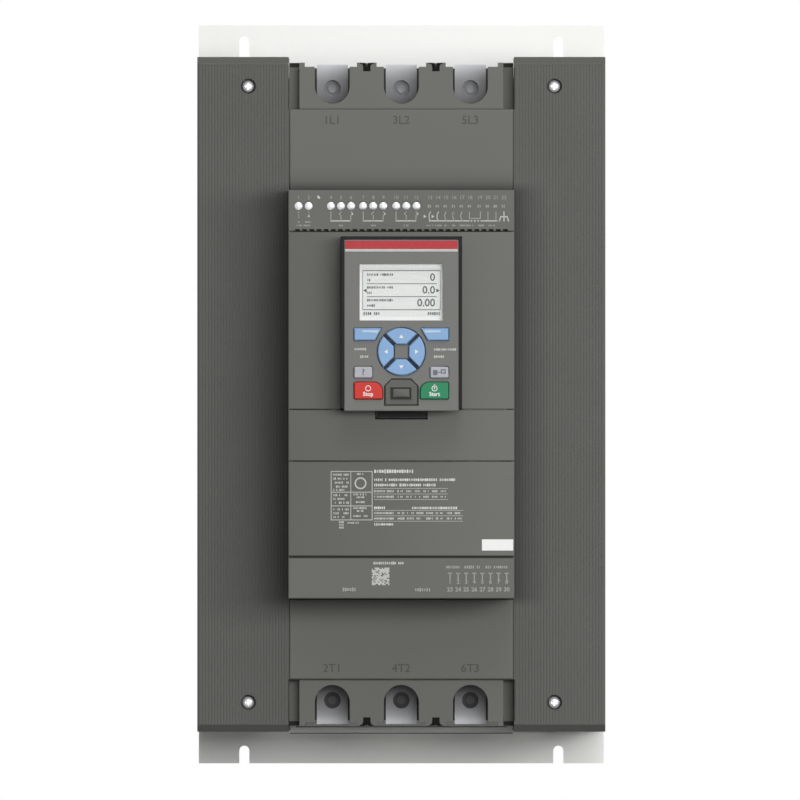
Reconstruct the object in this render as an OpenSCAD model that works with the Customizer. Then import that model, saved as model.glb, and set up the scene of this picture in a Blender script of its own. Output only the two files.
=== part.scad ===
// Wall-mounted three-phase soft starter with a removable keypad.
// The rear face of the back plate lies in the plane Y = 0 and the front looks along -Y.
// Z is up, and the origin is the centre of the back plate's rear face.
// Depths are measured forward from the wall, so a depth of d lies at Y = -d.

/* [Back plate] */
// Width of the back plate
plate_w = 258; // [250:1:276]
// Height of the back plate
plate_h = 470; // [462:1:500]
// Sheet thickness of the back plate
plate_t = 2; // [1.5:0.1:3]
// Width of the wall slots
slot_w = 6.4; // [5:0.1:7]
// Distance between the left and right wall slots
slot_pitch = 200; // [192:1:208]
// Bolt seat of the keyholes below the plate's top edge
hang_inset = 10; // [8:0.5:12]
// Bolt seat of the open slots above the plate's bottom edge
foot_inset = 8; // [6:0.5:10]

/* [Cooling] */
// Side of the square fan frames
fan_size = 80; // [70:1:84]
// Height of the fan frames along the air path
fan_t = 25; // [20:0.5:30]
// Width of the finned heat sink
sink_w = 180; // [172:1:184]
// Thickness of the heat sink's base under the power modules
sink_base_t = 14; // [10:0.5:18]
// Thickness of one cooling fin
fin_t = 2; // [1.4:0.1:3]
// Distance from fin to fin
fin_pitch = 7; // [5:0.5:10]

/* [Side covers] */
// Depth of the side covers and front cover from the wall
body_d = 200; // [195:1:220]
// Height of the side covers
cover_h = 425; // [424:1:440]
// Wall thickness of the moulded covers
cover_wall = 2.5; // [2:0.1:3]
// Distance from groove to groove in the ribbed faces
rib_pitch = 1.92; // [1.6:0.04:2.6]
// Width of one groove in the ribbed faces
rib_groove_w = 0.7; // [0.5:0.05:1.1]
// Depth of the grooves in the ribbed faces
rib_groove_d = 0.4; // [0.3:0.1:1.2]
// Height of the chamfer on the top and bottom ends
end_chamfer = 4.6; // [3:0.1:6]

/* [Terminals] */
// Width of the middle body between the side covers
middle_w = 142; // [140:0.5:148]
// Height of the flat front cover
front_h = 359; // [356:1:362]
// Distance from phase to phase
phase_pitch = 43.5; // [42:0.5:45]
// Width of the busbars
bar_w = 19.6; // [18:0.1:20.5]
// Thickness of the busbars
bar_t = 5; // [4:0.1:6]
// Diameter of the cable bolt holes
bar_hole_d = 10.5; // [8.4:0.1:13]
// Width of the cable cut-outs in the terminal shrouds
cutout_w = 22; // [21:0.1:24]
// Depth of the terminal shrouds below the front cover
shroud_drop = 4; // [2:0.5:6]
// Depth of the busbar faces below the shrouds
bar_drop = 31; // [26:1:34]

/* [Control module] */
// How far the control module stands proud of the front cover
module_d = 62; // [58:1:70]
// Height of the control module
module_h = 256.2; // [255:0.2:262]
// Thickness of the module's front panels
panel_t = 2.5; // [2:0.1:3]
// Width of the gaps between the front panels
seam = 0.4; // [0.2:0.1:0.8]
// Bevel along the edges of the front panels
panel_bevel = 0.5; // [0.2:0.1:1]
// Height of the upper terminal strip
upper_strip_h = 26; // [25:0.2:27]
// Height of the blank lid below the keypad
lid_h = 32.4; // [30:0.2:34]
// Height of the lower terminal strip
lower_strip_h = 26.4; // [25:0.2:28]
// Number of slots in the vent row
vent_count = 30; // [20:1:31]
// Diameter of the terminal screw heads
terminal_head_d = 5.4; // [4.4:0.1:5.6]

/* [Keypad] */
// Width of the keypad
keypad_w = 75.4; // [74:0.2:84]
// Height of the keypad
keypad_h = 108; // [106:0.5:110]
// How far the keypad's face stands proud of the module
keypad_proud = 18; // [14:0.5:22]
// Width of the rim around the keypad's face
keypad_rim = 1.8; // [1.5:0.1:2.4]
// Width of the display window
window_w = 52.2; // [50:0.2:56]
// Height of the display window
window_h = 35.4; // [32:0.2:36]
// Outer radius of the ring of arrow keys
arrow_ring_r = 14.7; // [13.4:0.1:15]
// How far the keys stand proud of the face
key_proud = 1.5; // [0.8:0.1:2]
// Travel of the keys
key_travel = 0.8; // [0.5:0.1:1.2]

/* [Hidden] */
$fn = 64;

// Shared clearances
fit = 0.3;
running = 0.05;
screw_play = 0.15;

// Colours of the moulded plastics and metals
grey = "#6b6c67";
dark = "#2a2a2b";
steel = "#c8cacc";
tin = "#b9bcc0";
board_green = "#1f5b3a";

// Depths of the main planes
fan_room = 2;
sink_d = fan_size + fan_room;
sink_front = plate_t + sink_d;
front_t = 3;
front_back = body_d - front_t;
shroud_front = body_d - shroud_drop;
bar_front = shroud_front - bar_drop;
bar_back = bar_front - bar_t;
module_front = body_d + module_d;
panel_back = module_front - panel_t;
keypad_front = module_front + keypad_proud;

// Heights of the main lines
half_front = front_h / 2;
cutout_land = 3.5;
cutout_l = 12.3;
lug_l = 2.6;
hole_drop = 1;
bar_tail = 15;
cutout_z = half_front + cutout_w / 2 + cutout_land;
terminal_z = cutout_z - hole_drop;
shroud_end = cutout_z + cutout_l;
lug_end = shroud_end + lug_l;
bar_end = terminal_z + bar_tail;
half_module = module_h / 2;
upper_seam_z = half_module - upper_strip_h;
lower_seam_z = lower_strip_h - half_module;
keypad_land = 3.4;
keypad_top = upper_seam_z - keypad_land;
keypad_bottom = keypad_top - keypad_h;
lid_top = keypad_bottom - fit;
lid_bottom = lid_top - lid_h;
phases = [-phase_pitch, 0, phase_pitch];

// Places of children drawn in the front view, from depth d0 to depth d1.
module front(d0, d1) {
    rotate([90, 0, 0]) translate([0, 0, d0]) linear_extrude(d1 - d0) children();
}

// Places of children drawn in the side view as (depth, height), from x0 to x1.
module side(x0, x1) {
    rotate([90, 0, -90]) translate([0, 0, -x1]) linear_extrude(x1 - x0) children();
}

// Places of children drawn in plan as (x, depth), from z0 to z1.
module plan(z0, z1) {
    translate([0, 0, z0]) linear_extrude(z1 - z0) mirror([0, 1]) children();
}

// A rod along the depth axis at (x, z), from depth d0 to depth d1.
module rod(x, z, d0, d1, d) {
    translate([x, -d0, z]) rotate([90, 0, 0]) cylinder(d = d, h = d1 - d0);
}

// A rectangle by its edges.
module rect(x0, x1, z0, z1) {
    translate([x0, z0]) square([x1 - x0, z1 - z0]);
}

// A rectangle by its edges with four round corners.
module soft_rect(x0, x1, z0, z1, r) {
    rect(x0 + r, x1 - r, z0, z1);
    rect(x0, x1, z0 + r, z1 - r);
    for (x = [x0 + r, x1 - r], z = [z0 + r, z1 - r]) translate([x, z]) circle(r);
}

// A plate by its edges and its depths, with its front edges bevelled by c.
module bevel_plate(x0, x1, z0, z1, d0, d1, c) {
    intersection() {
        plan(z0, z1) polygon([[x0, d0], [x1, d0], [x1, d1 - c], [x1 - c, d1], [x0 + c, d1], [x0, d1 - c]]);
        side(x0, x1) polygon([[d0, z0], [d1 - c, z0], [d1, z0 + c], [d1, z1 - c], [d1 - c, z1], [d0, z1]]);
    }
}

// Both sides of the part, with children drawn on the right.
module both_sides() {
    children();
    mirror([1, 0, 0]) children();
}

// Back plate
key_hole_d = 13;
key_hole_drop = 18;
plate_screw_d = 5;
plate_screw_head_d = 9.4;
plate_screw_l = 14;
plate_screw_recess_d = 3;
plate_screw_recess = 1;
tap_room = 2;
sink_leg_t = 8;
plate_screw_x = sink_w / 2 - sink_leg_t / 2;
plate_screw_zs = [-150, 0, 150];

module keyhole(x) {
    seat_z = plate_h / 2 - hang_inset;
    translate([x, seat_z]) circle(d = slot_w);
    rect(x - slot_w / 2, x + slot_w / 2, seat_z - key_hole_drop, seat_z);
    translate([x, seat_z - key_hole_drop]) circle(d = key_hole_d);
}

module foot_slot(x) {
    seat_z = foot_inset - plate_h / 2;
    translate([x, seat_z]) circle(d = slot_w);
    rect(x - slot_w / 2, x + slot_w / 2, -plate_h / 2 - 1, seat_z);
}

module countersink(extra) {
    rotate([90, 0, 0])
        cylinder(d1 = plate_screw_head_d + 2 * extra, d2 = plate_screw_d + 2 * extra, h = plate_t);
}

module mounting_plate() {
    color(steel) difference() {
        front(0, plate_t) difference() {
            square([plate_w, plate_h], center = true);
            for (x = [-slot_pitch, slot_pitch] / 2) {
                keyhole(x);
                foot_slot(x);
            }
        }
        for (x = [-plate_screw_x, plate_screw_x], z = plate_screw_zs)
            translate([x, 0, z]) countersink(screw_play);
    }
}

module plate_screws() {
    color(steel) for (x = [-plate_screw_x, plate_screw_x], z = plate_screw_zs) difference() {
        union() {
            translate([x, 0, z]) countersink(0);
            rod(x, z, plate_t, plate_screw_l, plate_screw_d);
        }
        rod(x, z, -1, plate_screw_recess, plate_screw_recess_d);
    }
}

// Heat sink
sink_inset = 12;
sink_top = cover_h / 2 - sink_inset;
tray_t = 1.5;
tray_drop = 2;
tray_corner = 3;
tray_z = -cover_h / 2 - tray_drop;
fan_z = tray_z + tray_t;
sink_bottom = fan_z + fan_t + fit;
fin_tip_gap = 2;
fin_room = sink_w - 2 * sink_leg_t - fin_pitch;
fin_count = floor(fin_room / fin_pitch) + 1;

module heat_sink() {
    color("#a9adb0") difference() {
        plan(sink_bottom, sink_top) {
            rect(-sink_w / 2, sink_w / 2, sink_front - sink_base_t, sink_front);
            for (x0 = [-sink_w / 2, sink_w / 2 - sink_leg_t])
                rect(x0, x0 + sink_leg_t, plate_t, sink_front);
            for (i = [0:fin_count - 1]) {
                x = (i - (fin_count - 1) / 2) * fin_pitch;
                rect(x - fin_t / 2, x + fin_t / 2, plate_t + fin_tip_gap, sink_front);
            }
        }
        for (x = [-plate_screw_x, plate_screw_x], z = plate_screw_zs)
            rod(x, z, 0, plate_screw_l + tap_room, plate_screw_d + 2 * screw_play);
    }
}

// Fans below the heat sink
fan_gap = 4;
fan_x = (fan_size + fan_gap) / 2;
fan_y = -(plate_t + sink_d / 2);
fan_rim = 2;
fan_bore = fan_size - 2 * fan_rim;
fan_corner = 3;
fan_hub_d = 34;
fan_hub_t = 4;
fan_hole_inset = 4.25;
fan_hole_pitch = fan_size - 2 * fan_hole_inset;
fan_hole_d = 4.3;
strut_w = 4;
shaft_d = 3;
rotor_gap = 1.2;
rotor_recess = 1;
blade_root = 2;
blade_count = 7;
blade_t = 1.6;
blade_chord = 24;
blade_pitch = 38;
guard_ring_w = 2;
guard_ring_gap = 9;
guard_first_gap = 5.4;
guard_hub_d = 28;

module fan_tray() {
    color("#8d9093") {
        translate([0, 0, tray_z]) linear_extrude(tray_t) {
            difference() {
                translate([-sink_w / 2, -sink_front - tray_t]) square([sink_w, sink_d + tray_t]);
                for (x = [-fan_x, fan_x]) translate([x, fan_y]) circle(d = fan_bore);
            }
            for (x = [-fan_x, fan_x]) translate([x, fan_y]) finger_guard();
        }
        front(sink_front, sink_front + tray_t)
            soft_rect(-housing_x, housing_x, tray_z, -housing_end - fit, tray_corner);
    }
}

module finger_guard() {
    ring_count = floor((fan_bore - fan_hub_d) / 2 / guard_ring_gap);
    circle(d = guard_hub_d);
    for (i = [0:ring_count - 1]) {
        r = fan_hub_d / 2 + guard_first_gap + i * guard_ring_gap;
        difference() {
            circle(r + guard_ring_w / 2);
            circle(r - guard_ring_w / 2);
        }
    }
    for (turn = [45, 135]) rotate(turn) square([fan_bore + 1, guard_ring_w], center = true);
}

module fan_frame(x) {
    color(dark) translate([x, fan_y, fan_z]) difference() {
        linear_extrude(fan_t) difference() {
            soft_rect(-fan_size / 2, fan_size / 2, -fan_size / 2, fan_size / 2, fan_corner);
            for (px = [-1, 1], py = [-1, 1])
                translate([px, py] * fan_hole_pitch / 2) circle(d = fan_hole_d);
        }
        difference() {
            translate([0, 0, -1]) cylinder(d = fan_bore, h = fan_t + 2);
            cylinder(d = fan_hub_d, h = fan_hub_t);
            for (turn = [0, 120, 240]) rotate(turn)
                translate([0, -strut_w / 2, 0]) cube([fan_bore / 2 + 1, strut_w, fan_hub_t]);
        }
        cylinder(d = shaft_d + 2 * running, h = fan_hub_t + 1);
    }
}

module fan_rotor(x) {
    hub_z = fan_hub_t + fit;
    hub_h = fan_t - hub_z - rotor_recess;
    tip_r = fan_bore / 2 - rotor_gap;
    color("#1d1d1e") translate([x, fan_y, fan_z]) {
        translate([0, 0, rotor_recess]) cylinder(d = shaft_d, h = fan_hub_t);
        translate([0, 0, hub_z]) cylinder(d = fan_hub_d, h = hub_h);
        intersection() {
            translate([0, 0, hub_z]) cylinder(r = tip_r, h = hub_h);
            for (i = [0:blade_count - 1]) rotate(i * 360 / blade_count)
                translate([fan_hub_d / 2 - blade_root, 0, hub_z + hub_h / 2]) rotate([blade_pitch, 0, 0])
                    translate([0, -blade_chord / 2, -blade_t / 2])
                        cube([tip_r, blade_chord, blade_t]);
        }
    }
}

// Side covers, with their posts and screws
post_d = 8;
post_gap = 2.4;
post_tap_l = 16;
screw_x = sink_w / 2 + post_gap + post_d / 2;
screw_inset = 18.5;
screw_z = cover_h / 2 - screw_inset;
cover_screw_l = 12;
cover_screw_d = 4;
cover_head_d = 7;
cross_l = 4.4;
cross_w = 0.9;
cross_floor = 1.6;
counterbore_d = 9.6;
counterbore_depth = 5.5;
seat_t = 3;
seat_front = body_d - counterbore_depth;
seat_back = seat_front - seat_t;
cover_x0 = middle_w / 2;
plate_edge = 0.5;
cover_x1 = plate_w / 2 - plate_edge;
cover_corner = 1.5;
return_depth = 46;
rib_margin = 2.6;
rib_inset = 5.2;
rib_end = cover_h / 2 - rib_inset;
chamfer_run = 6;
duct_lip = 4;
inner_bevel = 0.8;
bolt_pass = 14;
boss_l = 6;
post_play = 1;

module cover_posts() {
    color(steel) for (x = [-screw_x, screw_x], z = [-screw_z, screw_z]) difference() {
        translate([x, -plate_t, z]) rotate([90, 0, 0])
            cylinder(d = post_d, h = seat_back - plate_t, $fn = 6);
        rod(x, z, seat_back - post_tap_l, seat_back + 1, cover_screw_d + 2 * screw_play);
    }
}

module side_cover_screws() {
    head_t = 2.4;
    dome = 1.2;
    color(steel) for (x = [-screw_x, screw_x], z = [-screw_z, screw_z]) difference() {
        domed_screw(x, z, seat_back - cover_screw_l, seat_front, cover_screw_d, cover_head_d, head_t, dome);
        front(seat_front + cross_floor, seat_front + head_t + dome + 1) translate([x, z]) {
            square([cross_l, cross_w], center = true);
            square([cross_w, cross_l], center = true);
        }
    }
}

// A screw at (x, z) with its tip at depth d0 and its head, domed on top, seated at depth d1.
module domed_screw(x, z, d0, d1, shank_d, head_d, head_t, dome) {
    r = (head_d * head_d / 4 + dome * dome) / (2 * dome);
    head_top = d1 - d0 + head_t;
    translate([x, -d0, z]) rotate([90, 0, 0]) rotate_extrude() {
        rect(0, shank_d / 2, 0, d1 - d0);
        rect(0, head_d / 2, d1 - d0, head_top);
        intersection() {
            translate([0, head_top + dome - r]) circle(r);
            rect(0, head_d / 2, head_top - 0.2, head_top + dome + 1);
        }
    }
}

module cover_profile() {
    corner = cover_corner;
    difference() {
        union() {
            rect(cover_x0, cover_x1 - corner, body_d - cover_wall - corner, body_d);
            rect(cover_x1 - corner, cover_x1, body_d - cover_wall - corner, body_d - corner);
            translate([cover_x1 - corner, body_d - corner]) circle(corner);
        }
        rect(cover_x0 + cover_wall, cover_x1 - cover_wall, 0, body_d - cover_wall);
        polygon([
            [cover_x0 - 1, body_d - inner_bevel - 1], [cover_x0 + inner_bevel + 1, body_d + 1],
            [cover_x0 - 1, body_d + 1]
        ]);
    }
    rect(cover_x1 - cover_wall, cover_x1, plate_t, body_d - corner);
    rect(cover_x0, cover_x0 + cover_wall, body_d - return_depth, body_d - cover_wall);
}

module cover_end_profile() {
    rect(cover_x0, cover_x1 - cover_wall, sink_front + duct_lip, body_d - cover_wall);
    rect(sink_w / 2 + duct_lip, cover_x1 - cover_wall, plate_t + bolt_pass, sink_front + duct_lip);
}

module side_cover() {
    half = cover_h / 2;
    groove_room = cover_x1 - cover_x0 - 2 * rib_margin;
    groove_count = floor(groove_room / rib_pitch) + 1;
    groove_x0 = (cover_x0 + cover_x1 - (groove_count - 1) * rib_pitch) / 2;
    difference() {
        union() {
            plan(-half, half) cover_profile();
            for (z0 = [-half, half - cover_wall]) plan(z0, z0 + cover_wall) cover_end_profile();
            intersection() {
                for (end = [-1, 1]) side(cover_x0, cover_x1) chamfer_backing(end);
                plan(-half, half) rect(cover_x0, cover_x1 - cover_corner, 0, body_d);
            }
            for (z = [-screw_z, screw_z])
                rod(screw_x, z, seat_back - boss_l, body_d - cover_wall, counterbore_d + 2 * cover_wall);
        }
        for (end = [-1, 1]) side(cover_x0 - 1, cover_x1 + 1) chamfer_cut(end);
        for (i = [0:groove_count - 1]) {
            x = groove_x0 + i * rib_pitch;
            front(body_d - rib_groove_d, body_d + 1)
                rect(x - rib_groove_w / 2, x + rib_groove_w / 2, -rib_end, rib_end);
        }
        for (z = [-screw_z, screw_z]) {
            rod(screw_x, z, seat_front, body_d + 1, counterbore_d);
            rod(screw_x, z, seat_back - 1, body_d, cover_screw_d + 4 * screw_play);
            rod(screw_x, z, seat_back - boss_l - 1, seat_back, post_d + 2 * post_play);
        }
    }
}

// The wedge that a cover's end chamfer takes off, in side view.
module chamfer_cut(end) {
    half = cover_h / 2;
    polygon([
        [body_d - chamfer_run, end * (half + 0.01)], [body_d + 0.01, end * (half - end_chamfer)],
        [body_d + 1, end * (half - end_chamfer)], [body_d + 1, end * (half + 1)],
        [body_d - chamfer_run, end * (half + 1)]
    ]);
}

// The wall behind a cover's end chamfer, in side view.
module chamfer_backing(end) {
    half = cover_h / 2;
    polygon([
        [body_d - chamfer_run - cover_wall, end * half], [body_d - chamfer_run, end * half],
        [body_d, end * (half - end_chamfer)], [body_d, end * (half - end_chamfer - cover_wall)],
        [body_d - cover_wall, end * (half - end_chamfer - cover_wall)],
        [body_d - chamfer_run - cover_wall, end * (half - cover_wall)]
    ]);
}

module left_side_cover() {
    color(grey) mirror([1, 0, 0]) side_cover();
}

module right_side_cover() {
    color(grey) side_cover();
}

// Main housing between the side covers
housing_x = middle_w / 2 - fit;
housing_inner_x = housing_x - cover_wall;
shroud_overhang = 0.5;
housing_end = shroud_end - shroud_overhang;
bar_step_inset = 34;
bar_step_z = half_front - bar_step_inset;
bar_air = 6;
cross_wall_t = 3;
pedestal_l = 19;
pedestal_gap = 3.75;
pedestal_start = 6;
cross_wall_back = bar_back - pedestal_l - cross_wall_t;
channel_drop = 12;
channel_t = 2;
channel_back = body_d - channel_drop - channel_t;
sink_window_x = 64;
sink_window_z = 58;
nut_room = 3.5;
nut_pocket_d = bar_hole_d + 2 * nut_room;
nut_pocket_l = 15;

module main_housing() {
    color(grey) difference() {
        union() {
            both_sides() {
                side(housing_inner_x, housing_x) rect(sink_front, front_back, -half_front, half_front);
                side(housing_inner_x, housing_x) rect(sink_front, channel_back, -housing_end, housing_end);
            }
            front(sink_front, sink_front + cover_wall) difference() {
                rect(-housing_x, housing_x, -housing_end, housing_end);
                rect(-sink_window_x, sink_window_x, -sink_window_z, sink_window_z);
            }
            housing_terminal_end();
            mirror([0, 0, 1]) housing_terminal_end();
        }
        for (x = phases, z = [-terminal_z, terminal_z])
            rod(x, z, bar_back - nut_pocket_l, bar_back + 1, nut_pocket_d);
    }
}

// The insulating wall and busbar pedestals at the upper end of the main housing.
module housing_terminal_end() {
    wall_z = bar_step_z + bar_t + bar_air;
    bay_x = min((phase_pitch - barrier_block_w) / 2, shroud_x - shroud_wall - phase_pitch);
    pedestal_x = bay_x - pedestal_gap;
    front(cross_wall_back, cross_wall_back + cross_wall_t)
        rect(-housing_x, housing_x, wall_z, housing_end);
    side(-housing_x, housing_x)
        rect(sink_front, cross_wall_back + cross_wall_t, housing_end - cover_wall, housing_end);
    for (x = phases) front(cross_wall_back, bar_back)
        rect(x - pedestal_x, x + pedestal_x, half_front - pedestal_start, housing_end);
}

// Terminal shrouds
channel_w = 6.8;
shroud_x = middle_w / 2 - channel_w;
shroud_t = 3;
lug_w = 12.4;
outer_lug_w = 3.4;
barrier_slot_w = 4.6;
barrier_mouth_w = 6.2;
barrier_slot_l = 5.4;
mouth_l = 2.2;
mouth_edge = 1;
flange_inset = 3;
barrier_slot_d = 24;
barrier_block_w = 9;
shroud_wall = 2;

module shroud_outline() {
    slot_x = phase_pitch / 2;
    difference() {
        union() {
            rect(-shroud_x, shroud_x, half_front + fit, shroud_end);
            for (x0 = [-shroud_x, shroud_x - outer_lug_w])
                rect(x0, x0 + outer_lug_w, shroud_end - 1, lug_end);
            for (x = [-slot_x, slot_x]) rect(x - lug_w / 2, x + lug_w / 2, shroud_end - 1, lug_end);
        }
        for (x = phases) {
            translate([x, cutout_z]) circle(d = cutout_w);
            rect(x - cutout_w / 2, x + cutout_w / 2, cutout_z, lug_end + 1);
        }
        for (x = [-slot_x, slot_x]) barrier_slot(x);
    }
}

module barrier_slot(x) {
    polygon([
        [x - barrier_slot_w / 2, lug_end - barrier_slot_l],
        [x + barrier_slot_w / 2, lug_end - barrier_slot_l],
        [x + barrier_slot_w / 2, lug_end - mouth_l], [x + barrier_mouth_w / 2, lug_end - mouth_edge],
        [x + barrier_mouth_w / 2, lug_end + 1], [x - barrier_mouth_w / 2, lug_end + 1],
        [x - barrier_mouth_w / 2, lug_end - mouth_edge], [x - barrier_slot_w / 2, lug_end - mouth_l]
    ]);
}

module barrier_block(x) {
    rect(x - barrier_block_w / 2, x + barrier_block_w / 2, half_front + fit, lug_end);
}

module terminal_shroud() {
    wall_back = cross_wall_back + cross_wall_t;
    slot_floor = shroud_front - barrier_slot_d;
    slot_x = phase_pitch / 2;
    front(shroud_front - shroud_t, shroud_front) shroud_outline();
    front(wall_back, shroud_front - shroud_t) {
        for (x0 = [-shroud_x, shroud_x - shroud_wall])
            rect(x0, x0 + shroud_wall, half_front + fit, shroud_end);
    }
    front(wall_back, slot_floor) for (x = [-slot_x, slot_x]) barrier_block(x);
    front(slot_floor, shroud_front - shroud_t) for (x = [-slot_x, slot_x]) difference() {
        barrier_block(x);
        barrier_slot(x);
    }
    front(bar_front + fit, shroud_front - shroud_t)
        rect(-shroud_x, shroud_x, half_front + fit, half_front + fit + shroud_wall);
    both_sides() front(channel_back, channel_back + channel_t)
        rect(shroud_x - shroud_wall, housing_x, half_front + fit, shroud_end - flange_inset);
}

module line_shroud() {
    color(grey) terminal_shroud();
}

module load_shroud() {
    color(grey) mirror([0, 0, 1]) terminal_shroud();
}

// Front cover
cover_window_x = 52;
cover_window_z = 104;
skirt_h = 6;

module front_cover() {
    color(grey) {
        difference() {
            bevel_plate(-housing_x, housing_x, -half_front, half_front, front_back, body_d, inner_bevel);
            front(front_back - 1, body_d + 1)
                rect(-cover_window_x, cover_window_x, -cover_window_z, cover_window_z);
        }
        for (z0 = [-half_front, half_front - cover_wall])
            front(front_back - skirt_h, front_back)
                rect(-housing_inner_x + fit, housing_inner_x - fit, z0, z0 + cover_wall);
    }
}

// Power modules, busbars and their screws
thyristor_h = 30;
thyristor_w = 34;
thyristor_l = 94;
thyristor_body_l = 78;
thyristor_z = 28;
thyristor_base_t = 4;
thyristor_corner = 3;
fixing_inset = 4;
fixing_d = 5.4;
thyristor_front = sink_front + thyristor_h;
pad_h = 4;
pad_l = 19;
power_screw_d = 6;
power_head_d = 10;
power_head_t = 4;
power_screw_l = 12;
power_tap_l = 14;
power_hex_d = 5.8;
power_hex_floor = 1.5;
bend_r = 4;

module thyristor_module(x) {
    color(dark) difference() {
        union() {
            front(sink_front, sink_front + thyristor_base_t) soft_rect(
                x - thyristor_w / 2, x + thyristor_w / 2,
                -thyristor_l / 2, thyristor_l / 2, thyristor_corner
            );
            front(sink_front, thyristor_front - pad_h)
                rect(x - thyristor_w / 2, x + thyristor_w / 2, -thyristor_body_l / 2, thyristor_body_l / 2);
            front(sink_front, thyristor_front) for (z = [-thyristor_z, thyristor_z])
                rect(x - bar_w / 2, x + bar_w / 2, z - pad_l / 2, z + pad_l / 2);
        }
        for (z = [-thyristor_z, thyristor_z])
            rod(x, z, thyristor_front - power_tap_l, thyristor_front + 1, power_screw_d + 2 * screw_play);
        for (z = [-1, 1] * (thyristor_l / 2 - fixing_inset))
            rod(x, z, sink_front - 1, sink_front + thyristor_base_t + 1, fixing_d);
    }
}

// A quarter of a ring between two radii, in the quadrant of (sx, sy).
module quarter_ring(r0, r1, sx, sy) {
    intersection() {
        difference() {
            circle(r1);
            circle(r0);
        }
        translate([min(0, sx * r1), min(0, sy * r1)]) square(r1);
    }
}

// The bent strip of a busbar in side view, from a power module out to a terminal.
module bar_outline() {
    outer_r = bend_r + bar_t;
    start_z = thyristor_z - pad_l / 2;
    back_front = thyristor_front + bar_t;
    rect(thyristor_front, back_front, start_z, bar_step_z + bar_t - outer_r);
    translate([thyristor_front + outer_r, bar_step_z + bar_t - outer_r]) quarter_ring(bend_r, outer_r, -1, 1);
    rect(thyristor_front + outer_r, bar_front - outer_r, bar_step_z, bar_step_z + bar_t);
    translate([bar_front - outer_r, bar_step_z + outer_r]) quarter_ring(bend_r, outer_r, 1, -1);
    rect(bar_back, bar_front, bar_step_z + outer_r, bar_end);
}

module busbar(x) {
    color(tin) difference() {
        side(x - bar_w / 2, x + bar_w / 2) bar_outline();
        rod(x, terminal_z, bar_back - 1, bar_front + 1, bar_hole_d);
        rod(x, thyristor_z, thyristor_front - 1, thyristor_front + bar_t + 1, power_screw_d + 2 * screw_play);
    }
}

module load_busbar(x) {
    mirror([0, 0, 1]) busbar(x);
}

module power_screws() {
    color(steel) for (x = phases, z = [-thyristor_z, thyristor_z]) {
        seat = thyristor_front + bar_t;
        rod(x, z, thyristor_front - power_screw_l, seat, power_screw_d);
        difference() {
            rod(x, z, seat, seat + power_head_t, power_head_d);
            translate([x, -seat - power_hex_floor, z]) rotate([90, 0, 0])
                cylinder(d = power_hex_d, h = power_head_t, $fn = 6);
        }
    }
}

// Current transformers round the load busbars
ct_gap = 2.5;
ct_d = phase_pitch - ct_gap;
ct_h = 24;
ct_z = -104;
ct_depth = thyristor_front + bar_t / 2;
ct_foot_l = ct_depth - sink_front - cover_wall;

module current_transformers() {
    color("#33405a") for (x = phases) translate([x, -ct_depth, ct_z]) difference() {
        union() {
            cylinder(d = ct_d, h = ct_h, center = true);
            translate([0, ct_foot_l / 2, 0]) cube([ct_d / 2, ct_foot_l, ct_h], center = true);
        }
        cube([bar_w + 2 * fit, bar_t + 2 * fit, ct_h + 2], center = true);
    }
}

// Bypass contactor in front of the power modules
head_air = 1;
contactor_air = 6;
contactor_corner = 3;
contactor_back = thyristor_front + bar_t + power_head_t + head_air;
contactor_front = front_back - contactor_air;
contactor_x = housing_inner_x - fit / 2;
contactor_z = 46;
carrier_x = 54;
carrier_z = 30;
carrier_t = 16;
carrier_travel = 4;
carrier_lip = 4;
carrier_boss_x = 20;
carrier_boss_z = 12;
carrier_front = contactor_front - carrier_lip - fit;

module bypass_contactor() {
    color("#3d3f40") difference() {
        front(contactor_back, contactor_front)
            soft_rect(-contactor_x, contactor_x, -contactor_z, contactor_z, contactor_corner);
        front(carrier_front - carrier_t - carrier_travel - fit, contactor_front - carrier_lip)
            rect(-carrier_x - fit, carrier_x + fit, -carrier_z - fit, carrier_z + fit);
        front(contactor_front - carrier_lip - 1, contactor_front + 1)
            rect(-carrier_boss_x - fit, carrier_boss_x + fit, -carrier_boss_z - fit, carrier_boss_z + fit);
    }
}

module bypass_carrier() {
    color("#8a5a33") {
        front(carrier_front - carrier_t, carrier_front)
            rect(-carrier_x, carrier_x, -carrier_z, carrier_z);
        front(carrier_front, contactor_front)
            rect(-carrier_boss_x, carrier_boss_x, -carrier_boss_z, carrier_boss_z);
    }
}

// Trigger board above the contactor
trigger_t = 1.6;
trigger_air = 3;
trigger_gap = 6;
trigger_back = thyristor_front + bar_t + trigger_air;
trigger_z0 = contactor_z + trigger_gap;
trigger_z1 = bar_step_z - trigger_gap;
pulse_core_w = 18;
pulse_core_h = 14;
pulse_core_inset = 10;
capacitor_d = 11;
capacitor_h = 16;
capacitor_inset = 18;
capacitor_pitch = 16;

module trigger_board() {
    board_front = trigger_back + trigger_t;
    board_x = housing_inner_x - fit;
    color(board_green) {
        front(trigger_back, board_front) rect(-board_x, board_x, trigger_z0, trigger_z1);
        for (x = phases) {
            core_z0 = trigger_z0 + pulse_core_inset;
            capacitor_z = trigger_z1 - capacitor_inset;
            front(board_front, board_front + pulse_core_h)
                rect(x - pulse_core_w / 2, x + pulse_core_w / 2, core_z0, core_z0 + pulse_core_w);
            for (dx = [-1, 1] * capacitor_pitch / 2)
                rod(x + dx, capacitor_z, board_front, board_front + capacitor_h, capacitor_d);
        }
    }
}

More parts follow.
